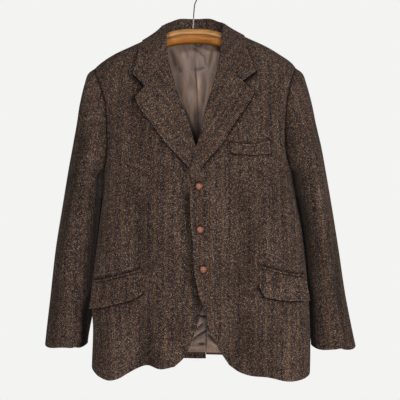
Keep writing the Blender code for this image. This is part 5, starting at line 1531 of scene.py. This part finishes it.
class JACKET_OT_lining(Operator):
    """Make the lining that shows inside the neck and at the hem."""
    bl_idname = "jacket.lining"
    bl_label = "Back lining"

    def execute(self, context):
        sizes, _ = chosen()
        for side in (LEFT, RIGHT):
            net = back_net(side)[:, :-FINE]
            centre = net[:, 0, 1]
            heights = np.concatenate([np.linspace(centre[0], LINING_BANDS[0], 100)[:-1],
                                      np.linspace(*LINING_BANDS, 44)[:-1],
                                      np.linspace(LINING_BANDS[1], centre[-1], 130)])
            rows = np.interp(heights, centre, np.arange(len(centre)))
            columns = (net.shape[1] - 1) * np.linspace(0.0, 1.0, LINING_COLUMNS) ** LINING_CROWD
            net = resampled(net, rows, columns)
            span = net[-1:, :, 1] - net[:1, :, 1]
            net[..., 1] += LINING_UP[side] * (net[-1:, :, 1] - net[..., 1]) / span
            middle = on_skin(net, -(sizes.cloth + LINING_CLEAR + sizes.lining / 2))
            x, z = middle[..., 0], middle[..., 2]
            less, *where = LINING_SLACK
            slack = lining_folds(x, z) * (1.0 - less * below(z, *where))
            middle[..., 1] -= slack
            uv = cloth_map(middle, x[:, :1])
            uv[..., 1] = z
            # Painted light and shade: shade in the slack's troughs and light on its ridges, shade
            # along the centre seam and in the lining's painted lines; and darker towards the hem.
            dark, width = LINING_SEAM_SHADE
            start, end = LINING_SEAM_ENDS
            seam = np.exp(-((x - np.interp(z, *LINING_SEAM)) / width) ** 2) * below(z, *start)
            fade_or_painted_shade = painted_fold_shade(slack, LINING_SHADE_HEIGHT) - dark * seam * (z > end)
            dark, *where = LINING_HEM_TONE
            fade_or_painted_shade = fade_or_painted_shade - dark * below(z, *where) + creases(LINING_PAINTED_SHADE, x, z)
            cloth_piece("satin", f"back_lining_{WORD[side]}", middle, uv, np.maximum(fade_or_painted_shade, -1.0))
        return {"FINISHED"}


class JACKET_OT_loop(Operator):
    """Make the hanging loop that is sewn in at the neck."""
    bl_idname = "jacket.loop"
    bl_label = "Hanging loop"

    def execute(self, context):
        sizes, _ = chosen()
        turn = np.linspace(0.0, np.pi, 49)[:, None]
        width = np.linspace(-0.5, 0.5, 9)[None] * LOOP_WIDTH
        reach = LOOP_REACH + width
        x = LOOP_MIDDLE - reach * np.cos(turn)
        z = LOOP_TOP - (LOOP_DROP + width) * np.sin(turn)
        place = places(np.stack([x, z], axis=-1), "back")
        middle = on_skin(place, -(sizes.cloth + LOOP_GAP) - 0.5 * LOOP_GAP * np.sin(turn))
        uv = np.stack([np.broadcast_to(width, x.shape), reach * turn], axis=-1)
        # The whole loop is painted darker: painted shade.
        cloth_piece("satin", "hanging_loop", middle, uv, LOOP_PAINTED_SHADE, solid=False)
        return {"FINISHED"}


class JACKET_OT_sleeves(Operator):
    """Make the two-piece sleeves."""
    bl_idname = "jacket.sleeves"
    bl_label = "Sleeves"

    def execute(self, context):
        sizes, _ = chosen()
        for side in (LEFT, RIGHT):
            rings, normal, bulge = sleeve_rings(side)
            middle = rings - normal * sizes.cloth / 2
            count = rings.shape[1]
            behind, before = TOP_SLEEVE_CELLS
            spans = (("top_sleeve", -behind, before), ("under_sleeve", before, count - behind))
            for name, first, last in spans:
                columns = np.arange(first, last + 1) % count
                part = middle[:, columns]
                full = f"{name}_{WORD[side]}"
                uv = arm_map(part, side, name == "under_sleeve") + (BOLT_START[full], 0.0)
                # Painted light and shade on a sleeve: paler or darker as a whole above and below,
                # shade in its folds' troughs and light on their ridges, shade along the armhole seam
                # and where it hangs against the body.
                above, low = SLEEVE_PAINTED_LIGHT[side]
                tone = above + (low - above) * below(part[..., 2], -0.42, 0.22)
                fade_or_painted_shade = painted_fold_shade(bulge[:, columns], SLEEVE_FOLD_SHADE_HEIGHT) + tone
                fade_or_painted_shade = np.minimum(fade_or_painted_shade, -HOLE_SHADE[0] * beside(part, 0, 0, HOLE_SHADE[1]))
                fade_or_painted_shade = np.minimum(fade_or_painted_shade, shade_beside_body(part, side))
                cloth_piece("tweed", full, part, uv, fade_or_painted_shade, (-SLEEVE_TUCK, 0.0), (0.0, 0.0))
        return {"FINISHED"}


class JACKET_OT_collar(Operator):
    """Make the collar and the lapels."""
    bl_idname = "jacket.collar"
    bl_label = "Collar and lapels"

    def execute(self, context):
        shares = even(FALL_CELLS)
        halves = [collar_half(side, COLLAR_CELLS, shares) for side in (RIGHT, LEFT)]
        whole = []
        for right, left in zip(*halves):
            left = left + np.array([2.0 * math.pi, 0.0])
            whole.append(np.concatenate([right, left[-2::-1]]))
        end = np.abs(np.linspace(-1.0, 1.0, len(whole[0])))
        spring = COLLAR_SPRING * ease((end - 0.60) / 0.3)
        middle = turned_profile(*whole, "under", 3 * FINE, spring)
        uv = cloth_map(middle, 3.0)[..., ::-1] + (BOLT_START["collar"], 0.0)
        # A highlight painted along the collar's outer edge.
        pale, width = EDGE_HIGHLIGHT
        fade_or_painted_shade = pale * beside(middle, 1, 1, width)
        cloth_piece("tweed", "collar", middle, uv, fade_or_painted_shade, (2 * SEAM, 2 * SEAM), (2 * SEAM, 0.0))
        for side in (LEFT, RIGHT):
            name = f"lapel_{WORD[side]}"
            layer = "over" if side == LEFT else "under"
            spring = LAPEL_SPRING * np.sin(np.pi * np.linspace(0.25, 1.0, LAPEL_ROWS + 1)) ** 0.7
            middle = turned_profile(*lapel_places(side), layer, FINE, spring)
            uv = cloth_map(middle[:, ::-1], BOLT_START[name])[:, ::-1]
            # Highlights painted along the lapel's outer edge and along its gorge.
            fade_or_painted_shade = pale * np.maximum(beside(middle, 1, 1, width), beside(middle, 0, 0, SEAM_WIDTH))
            cloth_piece("tweed", name, middle, uv, fade_or_painted_shade, (2 * SEAM, 0.0), (SEAM, 0.0))
        return {"FINISHED"}


def flat_strip(name, lines, cells_along, cells_across, lift, layer, painted_edge_shade):
    """Makes a strip on the front between two lines: straight from the upper line to the lower
    one, raised off the body surface by its lift. A highlight is painted along its free edges,
    and its last argument says how dark the shade painted along its upper line is; below 0 it is a
    highlight."""
    sizes, _ = chosen()
    lines = np.array(lines)
    at = even(cells_along)[:, None]
    line = smooth(at[:, 0], np.linspace(0.0, 1.0, len(lines)), lines)[:, None]
    depth = even(cells_across)
    x = line[..., 0] + (line[..., 2] - line[..., 0]) * depth
    z = line[..., 1] + (line[..., 3] - line[..., 1]) * depth
    net = places(np.stack([x, z], axis=-1), "front")
    middle = on_skin(net, lift(at, depth) + sizes.cloth / 2, layer)
    pale, width = TRIM_HIGHLIGHT
    edge_highlight = np.max([beside(middle, *edge, width) for edge in ((1, 1), (0, 0), (0, 1))], axis=0)
    uv = np.stack([x + BOLT_START[name], z], axis=-1)
    cloth_piece("tweed", name, middle, uv, pale * edge_highlight - painted_edge_shade * beside(middle, 1, 0, SEAM_WIDTH))


def flap_lift(at, depth, side):
    """How far a flap stands off: more towards its lower edge, most at its outer corner, with a
    slow wave along that edge."""
    return (FLAP_LIFT + FLAP_STAND * at ** 2 * depth + FLAP_SPRING * depth
            + FLAP_WAVE * np.sin(at * 5.0 + side) * depth ** 2)


class JACKET_OT_pockets(Operator):
    """Make the flaps, their jettings and the chest welt."""
    bl_idname = "jacket.pockets"
    bl_label = "Pockets"

    def execute(self, context):
        for side in (LEFT, RIGHT):
            # The last value is the shade painted along each strip's upper line; on the chest welt it
            # is a highlight.
            flat_strip(f"flap_{WORD[side]}", FLAP[side], 9 * FINE, 4 * FINE,
                       lambda at, depth: flap_lift(at, depth, side), "under", 0.9)
            strip = [(x, top + SEAM + JETTING_HEIGHT, x, top + SEAM) for x, top, _, _ in FLAP[side]]
            flat_strip(f"jetting_{WORD[side]}", strip, 9 * FINE, 3,
                       lambda at, depth: TRIM_LIFT, "under", 0.3)
        flat_strip("chest_welt", WELT, 7 * FINE, 2 * FINE,
                   lambda at, depth: TRIM_LIFT * (2.0 - depth), "over", -0.8)
        return {"FINISHED"}


def knot_relief(x, y):
    """A plaited knot on a disc: three strands each way, each a half round across its width,
    which by turns pass over and under, as the sign of a cosine along them says."""
    width = 0.60
    lie = np.cos(np.pi * x / width) * np.cos(np.pi * y / width)
    level = np.sqrt(np.clip(1.0 - (2.0 * (x / width - np.round(x / width))) ** 2, 0.0, 1.0))
    upright = np.sqrt(np.clip(1.0 - (2.0 * (y / width - np.round(y / width))) ** 2, 0.0, 1.0))
    over = ease(0.5 + lie * 1.6)
    return over * level + (1.0 - over) * upright


def leather_button(name, x, z):
    """A knot button: its height over its seat is a dome, the cosine of the share of the radius
    to a power, with the knot's relief on top, and it turns in under its widest ring."""
    sizes, _ = chosen()
    place = places(np.array([x, z]), "front")
    seat = on_skin(place, BUTTON_CLEAR, "over")
    normal = outward(place[0:1], place[1:2], "over")[0]
    side_way = unit(np.cross(normal, (0.0, 0.0, 1.0)))
    up_way = np.cross(side_way, normal)
    turn = once_round(72) + 0.4
    climb = np.linspace(-0.30, 1.0, 34)[:, None] * np.pi / 2
    reach = np.clip(np.cos(climb), 0.02, None) ** 0.75
    disc_x = reach * np.cos(turn)
    disc_y = reach * np.sin(turn)
    relief = knot_relief(disc_x * 1.05 + 0.02, disc_y * 1.05)
    centred = 1.0 - ease((reach - 0.45) / 0.52)
    rise = (np.sin(climb) + 0.45) / 1.45
    swell = 1.0 + 0.07 * (relief - 0.6) * ease((climb + 0.3) / 0.6)
    height = rise * sizes.button_dome * swell
    radius = sizes.button * (0.94 + 0.06 * (relief * ease(1.0 - climb)))
    points = (seat + side_way * (disc_x * radius)[..., None] + up_way * (disc_y * radius)[..., None]
              + normal * height[..., None])
    base = points[:1].mean(axis=1, keepdims=True) * 0.98 + points[:1] * 0.02
    points = np.concatenate([base, points])
    made = ring_object(name, points, 0.0, 0.0, finish_named("plaited_leather"))
    # Painted shade: darker in the gaps between the strands and towards the rim, where it turns
    # under.
    depth = (0.30 + 0.70 * relief) * (0.22 + 0.78 * centred)
    depth = np.concatenate([np.zeros((1, len(turn))), depth])
    strand_shade = made.data.attributes.new("strand_shade", "FLOAT", "POINT")
    strand_shade.data.foreach_set("value", depth.reshape(-1).astype(np.float32))
    return made


class JACKET_OT_buttons(Operator):
    """Make the three leather knot buttons."""
    bl_idname = "jacket.buttons"
    bl_label = "Buttons"

    def execute(self, context):
        for name, (x, z) in BUTTONS.items():
            place_piece(leather_button("leather_" + name, x, z), name)
        return {"FINISHED"}


def closing(count, power):
    """Shares of a bar's full thickness at places along it: 1, but for rounded-off ends."""
    share = np.linspace(-1.0, 1.0, count)
    return np.sqrt(np.clip(1.0 - np.abs(share) ** power, 0.0, 1.0))


class JACKET_OT_hanger(Operator):
    """Make the wooden bow and its wire hook."""
    bl_idname = "jacket.hanger"
    bl_label = "Hanger"

    def execute(self, context):
        sizes, _ = chosen()
        across, *lines = np.array(BOW).T
        x = np.linspace(across[0], across[-1], 240)
        top, tall, thick = [smooth(x, across, line) for line in lines]
        close = closing(len(x), 40)
        centres = np.stack([x, np.zeros_like(x), top - tall / 2], axis=-1)
        lean = 1.0 / np.sqrt(1.0 + np.gradient(centres[:, 2], x) ** 2)
        turn = once_round(64)
        groove = 1.0 - 0.10 * np.exp(-((np.sin(turn) - 0.12) / 0.05) ** 2) * (np.cos(turn) > 0)
        along = unit(np.gradient(centres, axis=0))
        aside = np.stack([-along[:, 2], np.zeros(len(along)), along[:, 0]], axis=-1)
        forward = np.array([0.0, -1.0, 0.0])
        rings = (centres[:, None]
                 + aside[:, None] * (np.sin(turn) * (tall / 2 * lean * close)[:, None])[..., None]
                 + forward * (np.cos(turn) * groove * (thick * close)[:, None])[..., None])
        made = ring_object("beech_bow", rings, np.sin(turn) * tall[:, None] / 2, x[:, None],
                           finish_named("varnished_beech"))
        place_piece(made, "hanger_bow")

        radius = HOOK_INNER_RADIUS + sizes.wire
        angles = np.linspace(HOOK_START_ANGLE, HOOK_END_ANGLE, 24)
        height = sizes.wire - radius + radius * np.sin(angles)
        loop = np.stack([radius * np.cos(angles), height], axis=-1)
        route = walk(np.concatenate([np.array(STEM), loop]), np.linspace(0.0, 1.0, 220))
        centres = np.stack([route[:, 0], np.zeros(len(route)), route[:, 1]], axis=-1)
        radii = closing(len(route), 200) * sizes.wire
        made = bent_wire("steel_hook", centres, radii, 20, finish_named("bright_steel"))
        place_piece(made, "hanger_hook")
        return {"FINISHED"}


class JACKET_OT_stage(Operator):
    """Set the pale floor, the soft lights and the camera."""
    bl_idname = "jacket.stage"
    bl_label = "Studio"

    def execute(self, context):
        sizes, colours = chosen()
        turn = once_round(64)
        radii = np.array(FLOOR_RADII)[:, None]
        height = -sizes.floor_drop - FLOOR_FALL * np.linspace(0.0, 1.0, len(radii))[:, None]
        height = np.broadcast_to(height, (len(radii), len(turn)))
        points = np.stack([radii * np.cos(turn), radii * np.sin(turn), height], axis=-1)
        mesh = bpy.data.meshes.new("studio_floor")
        quads = ring_quads(*height.shape)[:, ::-1]
        mesh.from_pydata(points.reshape(-1, 3).tolist(), [], quads.tolist())
        mesh.materials.append(matt_paint())
        new_object("studio_floor", mesh)

        world = bpy.data.worlds.new("studio_air")
        world.use_nodes = True
        tree = world.node_tree
        background = tree.nodes["Background"]
        background.inputs["Color"].default_value = (*colours.air, 1.0)
        strength = node(tree, "ShaderNodeMapRange", "Result", {
            "Value": node(tree, "ShaderNodeLightPath", "Is Camera Ray"), "To Min": AIR_LIGHT})
        tree.links.new(strength, background.inputs["Strength"])
        context.scene.world = world

        for name, place, aim, size, power in LIGHTS:
            lamp = bpy.data.lights.new(name, "AREA")
            lamp.shape = "DISK"
            lamp.size = size
            lamp.energy = power
            made = new_object(name, lamp)
            made.location = place
            way = Vector(aim) - Vector(place)
            made.rotation_euler = way.to_track_quat("-Z", "Y").to_euler()

        lens = bpy.data.cameras.new("jacket_camera")
        lens.sensor_width = 36.0
        lens.lens = 36.0 * CAMERA_DISTANCE / FIELD_WIDTH
        lens.clip_start = 0.01
        camera = new_object("jacket_camera", lens)
        camera.location = (CAMERA_X, -CAMERA_DISTANCE, CAMERA_Z)
        camera.rotation_euler = (math.pi / 2, 0.0, 0.0)
        context.scene.camera = camera
        context.scene.view_settings.view_transform = "Standard"
        return {"FINISHED"}


# ---- panel and start -----------------------------------------------------------------------
STEPS = (JACKET_OT_panels, JACKET_OT_lining, JACKET_OT_loop, JACKET_OT_sleeves, JACKET_OT_collar,
         JACKET_OT_pockets, JACKET_OT_buttons, JACKET_OT_hanger, JACKET_OT_stage)


class JACKET_PT_sidebar(Panel):
    """Lists the jacket's steps and sizes."""
    bl_idname = "JACKET_PT_sidebar"
    bl_label = "Tweed jacket"
    bl_space_type = "VIEW_3D"
    bl_region_type = "UI"
    bl_category = "Jacket"

    def draw(self, context):
        for step in STEPS:
            self.layout.operator(step.bl_idname)
        sizes, colours = chosen()
        for group in (sizes, colours):
            for name in group.__annotations__:
                self.layout.prop(group, name)


CLASSES = (JacketSizes, JacketColours, *STEPS, JACKET_PT_sidebar)


def register():
    """Makes the steps, sizes and panel known to Blender."""
    for item in CLASSES:
        bpy.utils.register_class(item)
    bpy.types.Scene.jacket_sizes = PointerProperty(type=JacketSizes)
    bpy.types.Scene.jacket_colours = PointerProperty(type=JacketColours)


def unregister():
    """Takes them away again."""
    del bpy.types.Scene.jacket_colours
    del bpy.types.Scene.jacket_sizes
    for item in reversed(CLASSES):
        bpy.utils.unregister_class(item)


def main():
    """Runs every step in order."""
    register()
    for step in STEPS:
        group, name = step.bl_idname.split(".")
        result = getattr(getattr(bpy.ops, group), name)()
        if result != {"FINISHED"}:
            raise RuntimeError(step.bl_label + " was not finished")


if __name__ == "__main__":
    main()
